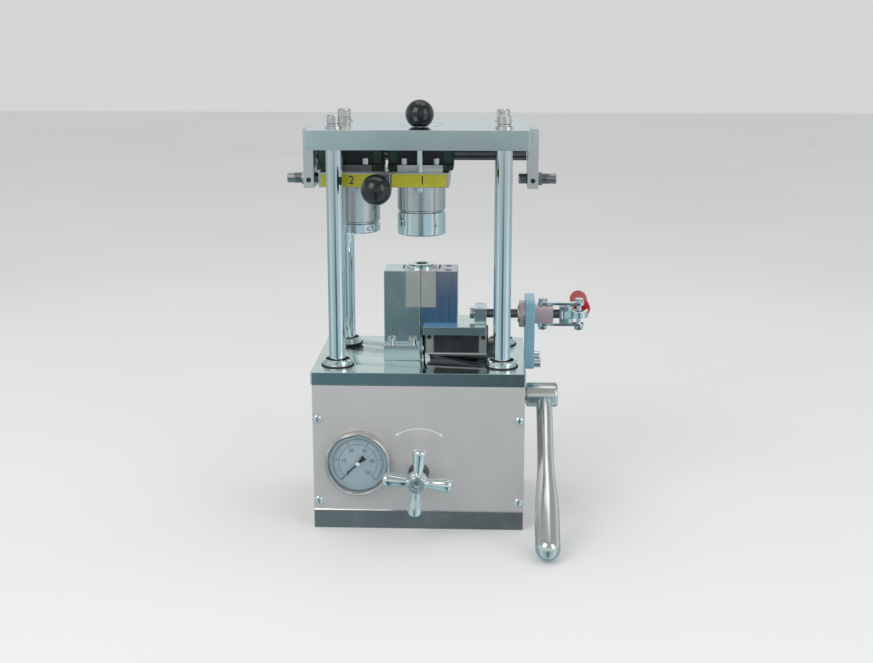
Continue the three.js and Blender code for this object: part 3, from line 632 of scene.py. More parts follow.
def column_bolt(corner):
    """A cap screw with its flat washer and its split spring washer."""
    box = Box("column_bolt_" + corner)
    foot = Box("top_plate").z1
    centre = (box.x, box.y, 0)
    washer = turned([(4.3, foot), (8.4, foot), (8.4, foot + 1.5), (4.3, foot + 1.5)], at=centre, closed=True)
    spring = []
    for i in range(41):
        angle = math.radians(4 + 352 * i / 40)
        rise = foot + 1.6 + 0.35 * i / 40
        across = [(r * math.cos(angle), r * math.sin(angle)) for r in (4.3, 6.7, 6.7, 4.3)]
        spring.append([placed("z", centre, *across[k], rise + (1.6 if k > 1 else 0)) for k in range(4)])
    head_foot = foot + 3.6
    head = cap_screw(6.45, box.z1 - head_foot, at=(box.x, box.y, head_foot))
    shank = turned([(4, box.z0), (4, head_foot + 1)], at=centre, steps=40)
    parts = [washer, skin(spring), head, shank]
    piece(f"bolt_{corner}", parts, bolt_chrome, FRAME_BODY, ["column_bolt_" + corner], 0.15)


# ---------------------------------------------------------------- rails, carriages and heads
def carriage_outline(seat, way, waisted, shrink=0.0):
    """The section of a carriage round its rail, as (y, z): plain, or a narrower body with two flanges."""
    foot = (4.3 if waisted else 5.8) + shrink
    waist = [(17 - shrink, foot), (17 - shrink, 17.4), (17.6 - shrink, 18), (23.5 - shrink, 18)]
    height = (24 if waisted else 25.5) - shrink
    half = [(7.9, foot), *(waist if waisted else [(23.5 - shrink, foot)]), (23.5 - shrink, height)]
    mirror = [(-y, h) for y, h in reversed(half)]
    return [(y, seat + way * h) for y, h in [*half, *mirror, (-7.9, 15.5), (7.9, 15.5)]]


def carriage(node, seat, way, body, cap_material, screw_height):
    """A linear guide carriage: a steel block and two moulded end caps with their seals and screws."""
    box = Box(node)
    cap = 9.2
    waisted = way < 0
    block_part = prism(carriage_outline(seat, way, waisted), (box.x0 + cap, box.x1 - cap), "x")
    piece(node + "_block", [block_part], black_oxide, body, [node], 0.3)
    caps, seals, screws = [], [], []
    for end, inward in ((box.x0, 1), (box.x1, -1)):
        near, far = sorted((end + inward * 1.3, end + inward * (cap - 0.1)))
        caps.append(prism(carriage_outline(seat, way, waisted, 0.5), (near, far), "x"))
        near, far = sorted((end, end + inward * 1.2))
        seals.append(prism(carriage_outline(seat, way, waisted, 1.0), (near, far), "x"))
        for side in (-1, 1):
            at = (end + inward * 4.6, side * 22.95, seat + way * screw_height)
            screws.append(cap_screw(2.1, 0.6, "y", at, side, 0.6))
    piece(node + "_caps", caps, cap_material, body, bevel=0.4)
    piece(node + "_seals", seals, rubber, body, bevel=0.2)
    piece(node + "_cap_screws", screws, black_oxide, body, bevel=0)


def flange_trim(node, seat, material, body):
    """The bare ground edges of a hanging carriage's flanges, and the four cap screws that stand on them."""
    box = Box(node)
    span = (box.x0 + 9.4, box.x1 - 9.4)
    face, half = 23.54, 0.3
    edges = [
        block(*span, side * face - half, side * face + half, seat - 24.02, seat - 18.2)
        for side in (-1, 1)
    ]
    piece(node + "_flange_edges", edges, material, body, bevel=0.1)
    heads = [
        cap_screw(3.3, 6.2, at=(box.x + side * 15, row * 20, seat - 18))
        for side in (-1, 1) for row in (-1, 1)
    ]
    piece(node + "_screws", heads, bolt_chrome, body, bevel=0.1)


def head(prefix, body):
    """A pressing head and the ring nut under it, with the nut's spanner holes."""
    top = Box(prefix + "_head")
    nut = Box(prefix + "_head_ring")
    radius = (top.x1 - top.x0) / 2
    centre = (top.x, 0, 0)
    bore = 6.5
    rows = [
        (bore, top.z0), (radius - 8, top.z0), (radius - 8, nut.z1 + 0.1), (radius - 1.2, nut.z1 + 0.1),
        (radius - 1.2, nut.z1 + 1.6), (radius, nut.z1 + 2.2), (radius, top.z1),
        (2.0, top.z1), (2.0, top.z1 - 23.5), (bore, top.z1 - 24.0),
    ]
    body_part = turned(rows, at=centre, steps=FINE, closed=True)
    piece(prefix + "_head_body", [body_part], ground_z, body, [prefix + "_head"], 0.3)
    rows = [
        (radius - 7.6, nut.z0), (radius - 0.9, nut.z0), (radius, nut.z0 + 0.9), (radius, nut.z1 - 0.5),
        (radius - 0.5, nut.z1), (radius - 7.6, nut.z1),
    ]
    holes = []
    for degrees in (38, 128, 218, 308):
        turn = Matrix.Translation((top.x, 0, nut.z)) @ Matrix.Rotation(math.radians(degrees), 4, "Z")
        hole = turned([(2.0, radius - 5), (2.0, radius + 3)], "x", steps=32)
        holes.append(moved(hole, turn))
    ring = turned(rows, at=centre, steps=FINE, closed=True)
    name = prefix + "_ring_nut"
    piece(name, [ring], chrome_z, body, [prefix + "_head_ring"], 0.2, holes)


def label(name, numeral, x0, x1, body):
    """A yellow film label with a plain numeral, on the front edge of a head plate."""
    plate = Box("primary_head_plate")
    z0, z1 = plate.z0 + 0.4, plate.z1 - 1.6
    film = prism(rectangle(x0, x1, z0, z1, 0.8), (plate.y0 - 0.35, plate.y0 + 0.05), "y")
    piece(name, [film], yellow_film, body, bevel=0.08)
    text(f"{name}_numeral", numeral, 11, ((x0 + x1) / 2 + 3, plate.y0 - 0.45, (z0 + z1) / 2), black_ink, body)


def text(name, characters, height, at, material, body):
    """Upright characters facing the front, as a thin mesh."""
    curve = bpy.data.curves.new(name, "FONT")
    curve.body = characters
    curve.size = height * MM
    curve.extrude = 0.03 * MM
    curve.align_x = "CENTER"
    curve.align_y = "CENTER"
    written = bpy.data.objects.new(name + "_text", curve)
    bpy.context.scene.collection.objects.link(written)
    bpy.context.view_layer.update()
    mesh = bpy.data.meshes.new_from_object(written.evaluated_get(bpy.context.evaluated_depsgraph_get()))
    bpy.data.objects.remove(written)
    upright = Matrix.Rotation(math.pi / 2, 4, "X")
    mesh.transform(Matrix.Translation(Vector(at) * MM) @ upright)
    obj = bpy.data.objects.new(name, mesh)
    bpy.context.scene.collection.objects.link(obj)
    mesh.materials.clear()
    mesh.materials.append(material)
    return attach(obj, body)


def ball_rows(radius, centre, first, way=1, steps=28):
    """Profile rows of a ball, from an angle in degrees below or above its equator round to its crown."""
    last = 89.0
    turns = [math.radians(first + (last - first) * i / steps) for i in range(steps + 1)]
    return [(radius * math.cos(t), centre + way * radius * math.sin(t)) for t in turns]


def tool_slide():
    body = "tool_slide"
    dress("upper_rail", steel_dark_flat, 0.2)
    seat = Box("upper_rail").z1
    for node, edge_material in (("primary_carriage", ground_flat), ("secondary_carriage", steel_dark_flat)):
        carriage(node, seat, -1, body, green_plastic, 20.2)
        flange_trim(node, seat, edge_material, body)
    dress("primary_head_plate", ground_flat, 0.5)
    dress("secondary_head_plate", ground_flat, 0.5)
    head("primary", body)
    head("secondary", body)
    primary = Box("primary_head_plate")
    secondary = Box("secondary_head_plate")
    label("label_primary", "1", primary.x0 + 1.4, primary.x1 - 2.3, body)
    label("label_secondary", "2", secondary.x0 + 2.3, secondary.x1 - 13.4, body)
    knob = Box("pull_knob")
    radius = (knob.x1 - knob.x0) / 2
    rows = [(4, knob.y1), (4, knob.y0 + 2 * radius - 0.9)] + ball_rows(radius, knob.y0 + radius, -66, -1)
    ball = turned(rows, "y", (knob.x, 0, knob.z), FINE)
    piece("pull_knob_ball", [ball], phenolic, body, ["pull_knob"], 0.3)


def index_pin():
    pin = Box("index_pin")
    knob = Box("index_knob")
    radius = (pin.x1 - pin.x0) / 2
    rows = [(radius - 0.9, pin.z0), (radius, pin.z0 + 1.4), (radius, pin.z1)]
    bar = turned(rows, at=(pin.x, pin.y, 0))
    piece("index_pin_bar", [bar], chrome_z, "index_pin", ["index_pin"], 0.1)
    ball_radius = (knob.x1 - knob.x0) / 2
    rows = [(4.6, knob.z0), (5.6, knob.z0 + 0.5)] + ball_rows(ball_radius, knob.z1 - ball_radius, -56)
    ball = turned(rows, at=(knob.x, knob.y, 0), steps=FINE)
    piece("index_knob_ball", [ball], phenolic, "index_pin", ["index_knob"], 0.2)


def stops():
    for side, way in (("left", -1), ("right", 1)):
        bracket = Box(side + "_stop_bracket")
        bolt = Box(side + "_stop_bolt")
        dress(side + "_stop_bracket", ground_upright, 0.6)
        screw = cap_screw(2.3, 0.9, "y", (bracket.x, bracket.y0, bolt.z), -1, 0.62)
        piece(side + "_set_screw", [screw], black_oxide, FRAME_BODY, bevel=0)
        inner, end = (bolt.x1, bolt.x0) if way < 0 else (bolt.x0, bolt.x1)
        shoulder = end - way * 6.8
        at = (0, 0, bolt.z)
        nut_start = bracket.x0 - 0.2 if way < 0 else bracket.x1 + 0.2
        nut_end = nut_start + way * 3.6
        nut = [
            (5.3, nut_start), (6.9, nut_start + way * 0.5, "hex"),
            (6.9, nut_end, "hex"), (5.3, nut_end + way * 0.4),
        ]
        parts = [
            thread(5.25, inner + way * 0.6, shoulder, at=at),
            turned([(4.4, inner), (4.7, inner + way * 0.8)], "x", at),
            turned(nut, "x", at),
            cap_screw(4.7, 6.6, "x", (shoulder, 0, bolt.z), way),
        ]
        piece(side + "_stop_screw", parts, bolt_steel, FRAME_BODY, [side + "_stop_bolt"], 0.1)


# ---------------------------------------------------------------- split die
def die_insert(side, way, body):
    """Half of the split sleeve: a plate let into its block, half a collar on top and half the bore."""
    node = side + "_die_insert"
    box = Box(node)
    block_top = Box(side + "_die_block").z1
    bore, gap, clear = 6.0, 0.25, 30
    hole = turned([(bore, box.z0 - 2), (bore, box.z1 + 2)], steps=FINE)
    plate = block(box.x0, box.x1, box.y0, box.y1, box.z0, block_top)
    piece(side + "_die_plate", [plate], sleeve_steel, body, [node], 0.25, [hole])
    rows = [
        (bore, block_top - 0.5), (14.0, block_top - 0.5), (14.2, block_top + 0.4), (14.2, box.z1 - 1.2),
        (13.0, box.z1), (7.2, box.z1), (bore, box.z1 - 1.0),
    ]
    far, near = sorted((way * gap, -way * clear))
    other_half = block(far, near, -clear, clear, block_top - 2, box.z1 + 2)
    ring = turned(rows, steps=FINE, closed=True)
    piece(side + "_die_collar", [ring], chrome_z, body, bevel=0.15, cuts=[other_half])
    # Painted shade: a thin black sheet inside the bore stands in for the shade down the hole.
    middle = 90 - way * 90
    outline = arc(bore + 0.02, middle - 87, middle + 87, 24) + arc(bore - 0.15, middle + 87, middle - 87, 24)
    shade_sheet = prism(outline, (box.z0 + 0.5, box.z1 - 1.1))
    piece(side + "_bore_lining", [shade_sheet], black_oxide, body, bevel=0)


def split_die():
    dress("fixed_die_block", plating_upright, 0.5)
    foot = Box("fixed_die_block")
    foot_height = 14.8
    foot_top = foot.z0 + foot_height
    places = [(x, way * (foot.y1 - 4.5)) for x in (foot.x0 + 7, foot.x1 - 7.3) for way in (-1, 1)]
    screws = [cap_screw(3.6, 6.2, at=(x, y, foot_top)) for x, y in places]
    washers = [turned([(4.4, 0), (4.4, 0.9)], at=(x, y, foot_top), steps=40) for x, y in places]
    piece("die_foot_screws", screws + washers, bolt_chrome, FRAME_BODY, bevel=0.1)
    die_insert("fixed", -1, FRAME_BODY)
    moving_block()
    die_insert("moving", 1, "die_slide")
    dress("lower_rail", steel_dark_flat, 0.2)
    carriage("lower_carriage", Box("lower_rail").z0, 1, "die_slide", grey_plastic, 22.4)
    lower = Box("lower_carriage")
    strips = [
        block(lower.x0 + 1.5, lower.x1 - 1.5, side * 23.4 - 0.4, side * 23.4 + 0.4, lower.z0, lower.z0 + 1.5)
        for side in (-1, 1)
    ]
    piece("lower_carriage_seal_strips", strips, ground_flat, "die_slide", bevel=0.1)
    dress("slide_plate", plating, 0.6)
    plate = Box("slide_plate")
    sunk = [countersunk(3.4, at=(x, side * 19, plate.z1 + 0.45)) for x in (19.3, 49.3) for side in (-1, 1)]
    piece("slide_plate_screws", sunk, ground_z, "die_slide", bevel=0)


def moving_block():
    """The moving half of the die block, with its pocket for the sleeve, a slot and two holes in its top."""
    box = Box("moving_die_block")
    insert = Box("moving_die_insert")
    body = [block(box.x0, box.x1, box.y0, box.y1, box.z0, box.z1)]
    pocket = block(-5, insert.x1 + 0.3, box.y0 - 2, box.y1 + 2, insert.z0 - 0.3, box.z1 + 2)
    bore = turned([(6.0, box.z0 - 2), (6.0, box.z1 + 2)], steps=FINE)
    deep = [(3.2, box.z1 - 9), (3.2, box.z1 + 2)]
    holes = [turned(deep, at=(26, side * 11, 0), steps=48) for side in (-1, 1)]
    slot = block(16.6, 18.2, -6, 16, box.z1 - 3, box.z1 + 2)
    cuts = [pocket, bore, slot, *holes]
    name = "moving_block_body"
    # Its finish carries a painted reflection that shifts with height.
    piece(name, body, plating_with_painted_reflection, "die_slide", ["moving_die_block"], 0.5, cuts)


# ---------------------------------------------------------------- toggle clamp
# Where the pivots stand along X with the clamp shut: links on body, handle on rod, handle on links.
BODY_PIVOT, ROD_PIVOT, HANDLE_PIVOT = 118, 142, 153


def toggle_clamp():
    dress("clamp_bracket", zinc_blue, 0.6)
    bracket = Box("clamp_bracket")
    axis = Box("plunger_rod").z
    screws = [cap_screw(4.7, 6.6, "x", (bracket.x1, y, bracket.z0 + 5.2)) for y in (-13, 13)]
    piece("bracket_screws", screws, chrome_x, FRAME_BODY, bevel=0.1)
    clamp_body(axis)
    plunger(axis)
    links()
    handle(axis)


def clamp_body(axis):
    box = Box("clamp_body")
    nut = Box("clamp_nut")
    bracket = Box("clamp_bracket")
    at = (0, 0, axis)
    front = bracket.x1 + 0.3
    barrel = thread(9.0, box.x0, bracket.x0 + 1, 1.5, 0.7, at=at, steps=64)
    outline = rectangle(box.y0, box.y1, axis - 8.3, axis + 8.3, 1.4)
    parts = [prism(outline, (front, box.x1), "x"), barrel, turned([(9, bracket.x0), (9, front + 1)], "x", at)]
    piece("clamp_housing", parts, warm_steel, FRAME_BODY, ["clamp_body"], 0.4)
    rim_start, rim_end = box.x1 - 0.4, box.x1 + 0.5
    rows = [(4.7, rim_start), (7.2, rim_start), (6.8, rim_end), (4.7, rim_end)]
    rim = turned(rows, "x", at, closed=True)
    piece("clamp_bush", [rim], steel_dark_x, FRAME_BODY, bevel=0.1)
    hexes = [(13.0, nut.x0), (13.85, nut.x0 + 0.8, "hex"), (13.85, nut.x1 - 0.8, "hex"), (13.0, nut.x1)]
    nut_part = turned(hexes, "x", at, 72)
    piece("clamp_lock_nut", [nut_part], warm_steel, FRAME_BODY, ["clamp_nut"], 0.15)


def plunger(axis):
    """The plunger rod with its end nut, and the fork that holds the handle."""
    rod = Box("plunger_rod")
    push = Box("push_block")
    dress("push_block", plating_upright, 0.5)
    sunk = [countersunk(2.9, at=(57, side * 11, push.z1 + 0.45)) for side in (-1, 1)]
    piece("push_block_screws", sunk, ground_z, "die_slide", bevel=0)
    at = (0, 0, axis)
    fork_start, pivot, cheek, half = 134, ROD_PIVOT, 5.5, 8.3
    nut = turned([(4.8, rod.x0), (5.6, rod.x0 + 0.5, "hex"), (5.6, 50.6, "hex"), (4.8, 51.2)], "x", at)
    bar = turned([(4.3, 50), (4.3, fork_start + 2)], "x", at)
    piece("plunger_bar", [bar], steel_dark_x, "die_slide", ["plunger_rod"], 0.15)
    piece("plunger_nut", [nut], bolt_steel, "die_slide", bevel=0.15)
    outline = [(fork_start, -cheek), *arc(cheek, -90, 90, 16, (pivot, 0)), (fork_start, cheek)]
    fork = [prism(outline, (axis - half, axis + half))]
    slot = block(fork_start + 2.2, pivot + 10, -9, 9, axis - 3.7, axis + 3.7)
    piece("plunger_fork", fork, plating_upright, "die_slide", bevel=0.4, cuts=[slot])
    pin = turned([(2.4, axis - 8.9), (2.4, axis + 8.9)], at=(pivot, 0, 0), steps=40)
    piece("fork_pin", [pin], chrome_z, "die_slide", bevel=0.2)


def links():
    """Two flat links with round ends, joined by shouldered bolts with nuts."""
    box = Box("toggle_links")
    middle = (box.z0 + box.z1) / 2
    left, right = BODY_PIVOT, HANDLE_PIVOT
    waist = [(right - 5, 3.6), (left + 5, 3.6)]
    other = [(left + 5, -3.6), (right - 5, -3.6)]
    outline = arc(4.9, 100, 260, 16, (left, 0)) + other + arc(4.9, -80, 80, 16, (right, 0)) + waist
    parts = []
    for way in (-1, 1):
        near, far = middle + way * 9, middle + way * 11.5
        parts.append(prism(outline, sorted((near, far))))
        for x in (left, right):
            washer = turned([(4.9, far), (4.9, far + way * 0.6)], at=(x, 0, 0), steps=40)
            nut = [
                (3.9, far + way * 0.6), (4.3, far + way * 0.9, "hex"),
                (4.3, far + way * 3.5, "hex"), (3.8, far + way * 3.9),
            ]
            parts += [washer, turned(nut, at=(x, 0, 0), steps=48)]
    parts.append(turned([(2.2, middle - 10), (2.2, middle + 10)], at=(right, 0, 0), steps=40))
    for way in (-1, 1):
        span = sorted((middle + way * 5.8, middle + way * 10))
        parts.append(turned([(2.4, height) for height in span], at=(left, 0, 0), steps=40))
    piece("links_and_bolts", parts, chrome_z, "toggle_links", ["toggle_links"], 0.2)


def handle(axis):
    box = Box("clamp_handle")
    grip = Box("handle_grip")
    x = grip.x
    outline = [
        *arc(4.7, 115, 245, 16, (ROD_PIVOT, 0)), (HANDLE_PIVOT - 4, -4.6),
        *arc(8, -140, 0, 20, (HANDLE_PIVOT, 0)),
        (x + 5, 2), (x + 5, grip.y0 - 0.4), (x - 5, grip.y0 - 0.4), (x - 5, 9), (HANDLE_PIVOT - 5, 5),
    ]
    plate = [prism(outline, (box.z0 + 0.1, box.z1 - 0.1))]
    cuts = [
        turned([(radius, axis - 9), (radius, axis + 9)], at=(centre, 0, 0), steps=40)
        for radius, centre in ((2.8, ROD_PIVOT), (5, HANDLE_PIVOT))
    ]
    piece("handle_plate", plate, chrome_z, "clamp_handle", ["clamp_handle"], 0.4, cuts)
    shank = turned([(3, grip.y0 - 2), (3, grip.y0 + 34)], "y", (x, 0, axis))
    piece("handle_shank", [shank], chrome_y, "clamp_handle", bevel=0.2)
    start, end = grip.y0, grip.y1
    rows = [
        (3.4, start + 0.5), (6.8, start), (7.9, start + 0.6), (8.7, start + 2.4),
        (8.5, start + 14), (8.2, start + 28), (8.4, start + 42), (8.7, end - 5),
        (8.3, end - 2.6), (7.0, end - 1), (4.6, end - 0.2), (2.0, end),
    ]
    sleeve = turned(rows, "y", (x, 0, axis), FINE)
    piece("grip_sleeve", [sleeve], red, "clamp_handle", ["handle_grip"], 0.3)


# ---------------------------------------------------------------- gauge
def gauge():
    case = Box("gauge_case")
    dial = Box("gauge_dial")
    at = (case.x, 0, case.z)
    bezel = (case.x1 - case.x0) / 2
    front = case.y0
    window = (dial.x1 - dial.x0) / 2 + 0.3
    floor = dial.y1 + 0.1
    rows = [
        (6, case.y1), (6, -52), (26.8, -52), (26.8, -75.2),
        (bezel, -75.2), (bezel, -76.6), (bezel - 0.5, -77.2),
        (bezel - 0.5, -78.0), (bezel, -78.8), (bezel, front + 2.2), (bezel - 0.5, front + 0.9),
        (bezel - 1.5, front + 0.1), (bezel - 2.6, front + 0.3), (window + 0.3, front + 1.2), (window, floor),
    ]
    case_part = turned(rows, "y", at, FINE)
    piece("gauge_housing", [case_part], bezel_steel, FRAME_BODY, ["gauge_case"], 0.12)
    face = turned([(window - 0.3, dial.y0), (window - 0.3, dial.y1)], "y", at, FINE)
    piece("dial_plate", [face], dial_blue, FRAME_BODY, ["gauge_dial"], 0.1)
    lens = Box("gauge_lens")
    pane = turned([(window - 0.3, lens.y0), (window - 0.3, lens.y1)], "y", at, FINE)
    piece("gauge_pane", [pane], glass, FRAME_BODY, ["gauge_lens"], 0.15)
    dial_marks(at, dial.y0)
    needle(at)


def dial_marks(at, face):
    """Ticks over 270 degrees of scale, an outer arc, and plain numbers."""
    x, _, z = at
    spans, scale_start, scale_turn, tick_reach = 50, -135, 270, 23.4
    ticks = []
    for i in range(spans + 1):
        angle = math.radians(scale_start + scale_turn * i / spans)
        turn = Matrix.Translation((x, 0, z)) @ Matrix.Rotation(angle, 4, "Y")
        major = i % 10 == 0
        length, half = (3.8, 0.3) if major else ((2.8, 0.2) if i % 5 == 0 else (2.0, 0.14))
        tick = block(-half, half, face - 0.06, face + 0.02, tick_reach - length, tick_reach)
        ticks.append(moved(tick, turn))
    band = arc(24.0, -45, 225, 90) + arc(23.6, 225, -45, 90)
    ticks.append(prism(band, (face - 0.06, face + 0.02), "y", at))
    piece("dial_ticks", ticks, black_ink, FRAME_BODY, bevel=0)
    inner = arc(18.6, -45, 225, 80) + arc(18.3, 225, -45, 80)
    blue = [prism(inner, (face - 0.06, face + 0.02), "y", at)]
    for i in range(41):
        angle = math.radians(scale_start + scale_turn * i / 40)
        turn = Matrix.Translation((x, 0, z)) @ Matrix.Rotation(angle, 4, "Y")
        tick_foot = 17.4 if i % 4 else 16.8
        blue.append(moved(block(-0.12, 0.12, face - 0.06, face + 0.02, tick_foot, 18.4), turn))
    piece("dial_inner_scale", blue, blue_ink, FRAME_BODY, bevel=0)
    for i in range(6):
        angle = math.radians(225 - 54 * i)
        spot = (x + 13.6 * math.cos(angle), face - 0.05, z + 13.6 * math.sin(angle))
        text(f"dial_number_{i}", str(10 * i), 5.2, spot, blue_ink, FRAME_BODY)


def needle(at):
    """A tapered pointer with a broad tail and a bright centre cap."""
    node = Box("gauge_needle")
    x, _, z = at
    turn = Matrix.Translation((x, 0, z)) @ Matrix.Rotation(math.radians(225), 4, "Y")
    side = [(0.5, 14), (0.8, 2), (1.0, -2), (2.6, -9)]
    outline = [(0, 23.4), *side, *[(-a, b) for a, b in reversed(side)]]
    pointer_front, pointer_back = -80.4, -79.7
    pointer = moved(prism(outline, (pointer_front, pointer_back), "y"), turn)
    piece("pointer", [pointer], black_ink, "gauge_needle", ["gauge_needle"], 0.08)
    cap = turned([(1.4, node.y1), (1.4, -79), (2.1, -80), (2.0, -80.8), (1.4, node.y0)], "y", at, 40)
    piece("pointer_cap", [cap], chrome_y, "gauge_needle", bevel=0.1)


# ---------------------------------------------------------------- handwheel
def handwheel():
    wheel = Box("handwheel")
    stem = Box("valve_stem")
    body = "relief_valve"
    at = (stem.x, 0, stem.z)
    front, back = wheel.y0, -92.0
    bar = turned([(4, back - 1), (4, -75.3), (3.6, -75.3), (3.6, stem.y1)], "y", at)
    piece("stem_bar", [bar], chrome_y, body, ["valve_stem"], 0.15)
    hub = [
        (6.8, back), (8.4, back - 0.8), (9.2, back - 3), (9.9, -97), (10.3, -103), (10.0, -107),
        (9.2, front + 2.2), (8.2, front + 0.7), (7.4, front), (6.6, front), (6.3, front + 0.5),
        (5.9, front + 0.5), (5.6, front + 0.1), (4.6, front + 0.1), (4.3, front + 0.5),
        (2.9, front + 0.5), (2.6, front + 0.6, "hex"), (2.5, front + 3.4, "hex"),
    ]
    spoke = [
        (2.8, 4), (4.4, 9), (4.5, 12), (5.0, 16), (5.8, 21), (6.4, 25), (6.7, 27.5), (6.6, 29), (6.2, 30.6),
        (5.4, 31.7), (4.2, 32.2), (2.2, 32.35), (0.6, 32.4),
    ]
    parts = [turned(hub, "y", at, FINE)]
    spoke_y, tilt = -103, 5
    for degrees in (0, 90, 180, 270):
        angle = math.radians(degrees + tilt)
        turn = Matrix.Translation((stem.x, spoke_y, stem.z)) @ Matrix.Rotation(angle, 4, "Y")
        parts.append(moved(turned(spoke, steps=64), turn))
    piece("handwheel_body", parts, chrome_cast, body, ["handwheel"], 0.12)
    gland = [(4.8, -79.6), (8.2, -79.6), (9.0, -78.8), (9.0, -74.5), (4.8, -74.5)]
    ring = turned(gland, "y", at, FINE, closed=True)
    piece("valve_gland", [ring], steel_dark_flat, FRAME_BODY, bevel=0.15)


# ---------------------------------------------------------------- pump lever
def pump_lever():
    lever = Box("pump_lever")
    axis_y, axis_z = -10.0, 116.6
    body = "pump_lever"
    x = lever.x1 - 13.1
    socket = [
        (6.2, lever.x0), (10.9, lever.x0), (11.9, lever.x0 + 1.2), (12.0, lever.x0 + 2),
        (12.0, lever.x1 - 2.4), (11.6, lever.x1 - 1.1), (10.4, lever.x1), (2.0, lever.x1),
    ]
    reach = -172.6
    rest_angle = math.radians(-52.9)
    stem = [
        (6.0, -4), (7.7, -11), (7.7, -66), (7.8, -78), (8.1, -90), (8.8, -101), (9.7, -111), (10.5, -122),
        (11.1, -134), (11.3, -146), (11.3, reach),
    ]
    turn = Matrix.Translation((x, axis_y, axis_z)) @ Matrix.Rotation(rest_angle, 4, "X")
    arm = turned(stem + ball_rows(11.3, reach, 4.5, -1), steps=FINE)
    parts = [turned(socket, "x", (0, axis_y, axis_z), FINE), moved(arm, turn)]
    piece("lever_body", parts, satin_chrome, body, ["pump_lever"], 0.25)
    rows = [(6.1, 99.4), (9.2, 99.4), (9.2, 102.2), (6.1, 102.2)]
    collar_part = turned(rows, "x", (0, axis_y, axis_z), closed=True)
    piece("shaft_collar", [collar_part], chrome_x, body, bevel=0.3)
    dress("lever_shaft", ground_flat, 0.2)


def hidden_works():
    """The hydraulic unit inside the cabinet and the ram in the die."""
    dress("hydraulic_cylinder", casting, 0.3)
    dress("pump_block", casting, 0.4)
    dress("pump_plunger", ground_z, 0.2)
    ram = Box("ram")
    rows = [
        (14.2, 30), (14.2, 44), (3, 44), (3, 190),
        (5.0, 190), (5.7, 191), (5.7, ram.z1 - 0.5), (5.2, ram.z1),
    ]
    rod = turned(rows, steps=FINE)
    piece("ram_rod", [rod], chrome_z, "ram", ["ram"], 0.15)


# ---------------------------------------------------------------- stage, lights and camera
def floor():
    shader = Shader("floor_paint", Specular_IOR_Level=0.2)
    cloud = shader.noise((1.2, 1.2, 1.2), 3.0)
    shader.set("Base Color", shader.colours(cloud, (0.86, 0.86, 0.86), (0.90, 0.90, 0.90)))
    shader.set("Roughness", shader.spread(cloud, 0.6, 0.8))
    half = 6000
    corners = [(-half, -half, 0), (half, -half, 0), (half, half, 0), (-half, half, 0)]
    ground = bare("floor", [(corners, [(0, 1, 2, 3)])])
    ground.data.materials.append(shader.material)
    ground.visible_glossy = False


def softbox(name, at, target, size, power):
    light = bpy.data.lights.new(name, "AREA")
    light.shape = "RECTANGLE"
    light.size, light.size_y = size
    light.energy = power
    lamp = bpy.data.objects.new(name, light)
    lamp.location = at
    lamp.rotation_euler = (Vector(target) - Vector(at)).to_track_quat("-Z", "Y").to_euler()
    bpy.context.scene.collection.objects.link(lamp)


def ramp(nodes, stops):
    """A colour ramp from (place, colour) stops."""
    made = nodes.new("ShaderNodeValToRGB")
    elements = made.color_ramp.elements
    while len(elements) < len(stops):
        elements.new(0.5)
    for element, (place, colour) in zip(elements, stops):
        element.position = place
        element.color = (*colour, 1)
    return made


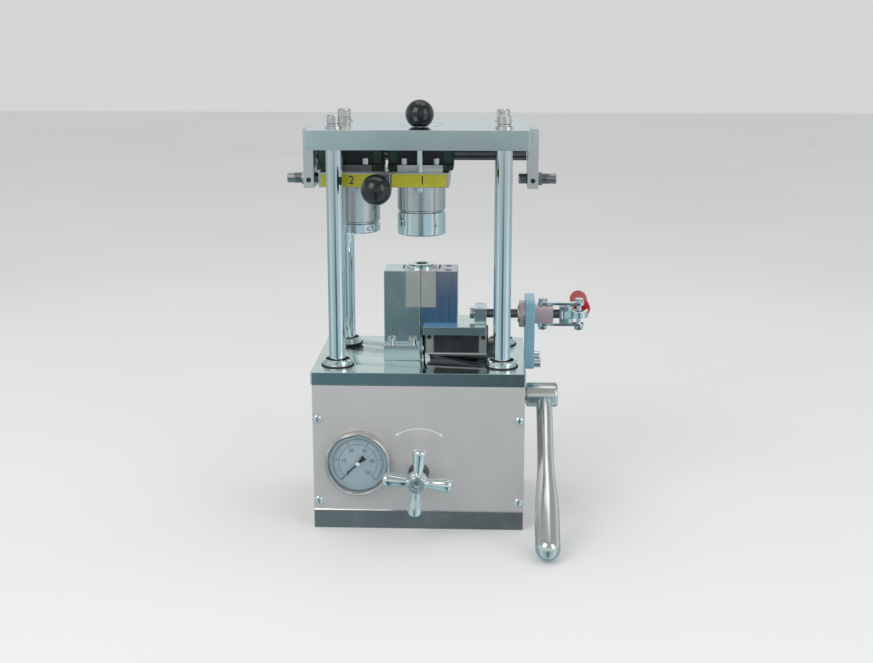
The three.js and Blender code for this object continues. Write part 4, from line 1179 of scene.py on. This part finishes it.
def world():
    """A room of reflections for glossy rays, and an even pale dome for all the others.

    Above the horizon the reflections follow the height. Near it and below, they follow the direction around.
    """
    room = bpy.data.worlds.new("room")
    bpy.context.scene.world = room
    room.use_nodes = True
    nodes, links = room.node_tree.nodes, room.node_tree.links
    split = nodes.new("ShaderNodeSeparateXYZ")
    links.new(nodes.new("ShaderNodeTexCoord").outputs["Generated"], split.inputs[0])
    around = nodes.new("ShaderNodeMath")
    around.operation = "ARCTAN2"
    links.new(split.outputs["X"], around.inputs[0])
    links.new(split.outputs["Y"], around.inputs[1])
    turn = nodes.new("ShaderNodeMapRange")
    turn.inputs["From Min"].default_value = -math.pi
    turn.inputs["From Max"].default_value = math.pi
    links.new(around.outputs[0], turn.inputs["Value"])
    ring = ramp(nodes, [
        (0.0, (0.11, 0.15, 0.165)), (0.01, (0.135, 0.20, 0.225)), (0.024, (0.125, 0.22, 0.25)),
        (0.045, (0.42, 0.60, 0.63)), (0.13, (0.46, 0.66, 0.68)), (0.17, (0.74, 0.86, 0.87)),
        (0.22, (0.66, 0.80, 0.82)), (0.27, (0.30, 0.43, 0.47)), (0.36, (0.36, 0.50, 0.53)),
        (0.50, (0.28, 0.38, 0.40)), (0.64, (0.40, 0.55, 0.60)), (0.72, (0.42, 0.58, 0.64)),
        (0.77, (0.75, 0.86, 0.92)), (0.83, (1.0, 1.0, 1.0)), (0.87, (0.50, 0.72, 0.82)),
        (0.955, (0.46, 0.68, 0.78)), (0.978, (0.11, 0.15, 0.17)), (0.995, (0.10, 0.125, 0.135)),
        (1.0, (0.11, 0.15, 0.165)),
    ])
    links.new(turn.outputs[0], ring.inputs["Fac"])
    height = nodes.new("ShaderNodeMapRange")
    height.inputs["From Min"].default_value = -0.19
    height.inputs["From Max"].default_value = -0.04
    links.new(split.outputs["Z"], height.inputs["Value"])
    rise = nodes.new("ShaderNodeMapRange")
    rise.inputs["From Min"].default_value = -1
    links.new(split.outputs["Z"], rise.inputs["Value"])
    ceiling = ramp(nodes, [
        (0.45, (0.58, 0.62, 0.62)), (0.51, (0.78, 0.83, 0.85)), (0.54, (0.72, 0.77, 0.78)),
        (0.60, (0.86, 0.91, 0.89)), (0.66, (0.74, 0.80, 0.78)), (0.74, (0.44, 0.49, 0.48)),
        (1.0, (0.42, 0.44, 0.44)),
    ])
    links.new(rise.outputs[0], ceiling.inputs["Fac"])
    overhead = nodes.new("ShaderNodeMix")
    overhead.data_type = "RGBA"
    links.new(height.outputs[0], overhead.inputs["Factor"])
    links.new(ring.outputs["Color"], overhead.inputs["A"])
    links.new(ceiling.outputs["Color"], overhead.inputs["B"])
    dome = nodes.new("ShaderNodeMix")
    dome.data_type = "RGBA"
    dome.inputs["A"].default_value = (0.78, 0.785, 0.79, 1)
    links.new(nodes.new("ShaderNodeLightPath").outputs["Is Glossy Ray"], dome.inputs["Factor"])
    links.new(overhead.outputs["Result"], dome.inputs["B"])
    background = nodes["Background"]
    background.inputs["Strength"].default_value = 0.85
    links.new(dome.outputs["Result"], background.inputs["Color"])


def camera():
    lens = bpy.data.cameras.new("camera")
    lens.sensor_width = 36
    lens.lens = 54.29
    lens.clip_end = 50
    eye = bpy.data.objects.new("camera", lens)
    eye.location = (0.06473, -1.25601, 0.47058)
    eye.rotation_euler = (math.pi / 2 - 0.2297, 0, 0.0401)
    bpy.context.scene.collection.objects.link(eye)
    bpy.context.scene.camera = eye


camera()
world()
floor()
softbox("key_light", (-0.9, -1.2, 1.4), (0, 0, 0.15), (1.1, 1.1), 9)
softbox("fill_light", (1.3, -1.0, 0.9), (0, 0, 0.2), (0.8, 1.2), 4)
softbox("top_light", (0.1, 0.3, 1.9), (0, 0, 0.2), (1.5, 1.0), 5)
bpy.context.scene.view_settings.view_transform = "Standard"

cabinet()
plates()
columns()
tool_slide()
index_pin()
stops()
split_die()
toggle_clamp()
gauge()
handwheel()
pump_lever()
hidden_works()
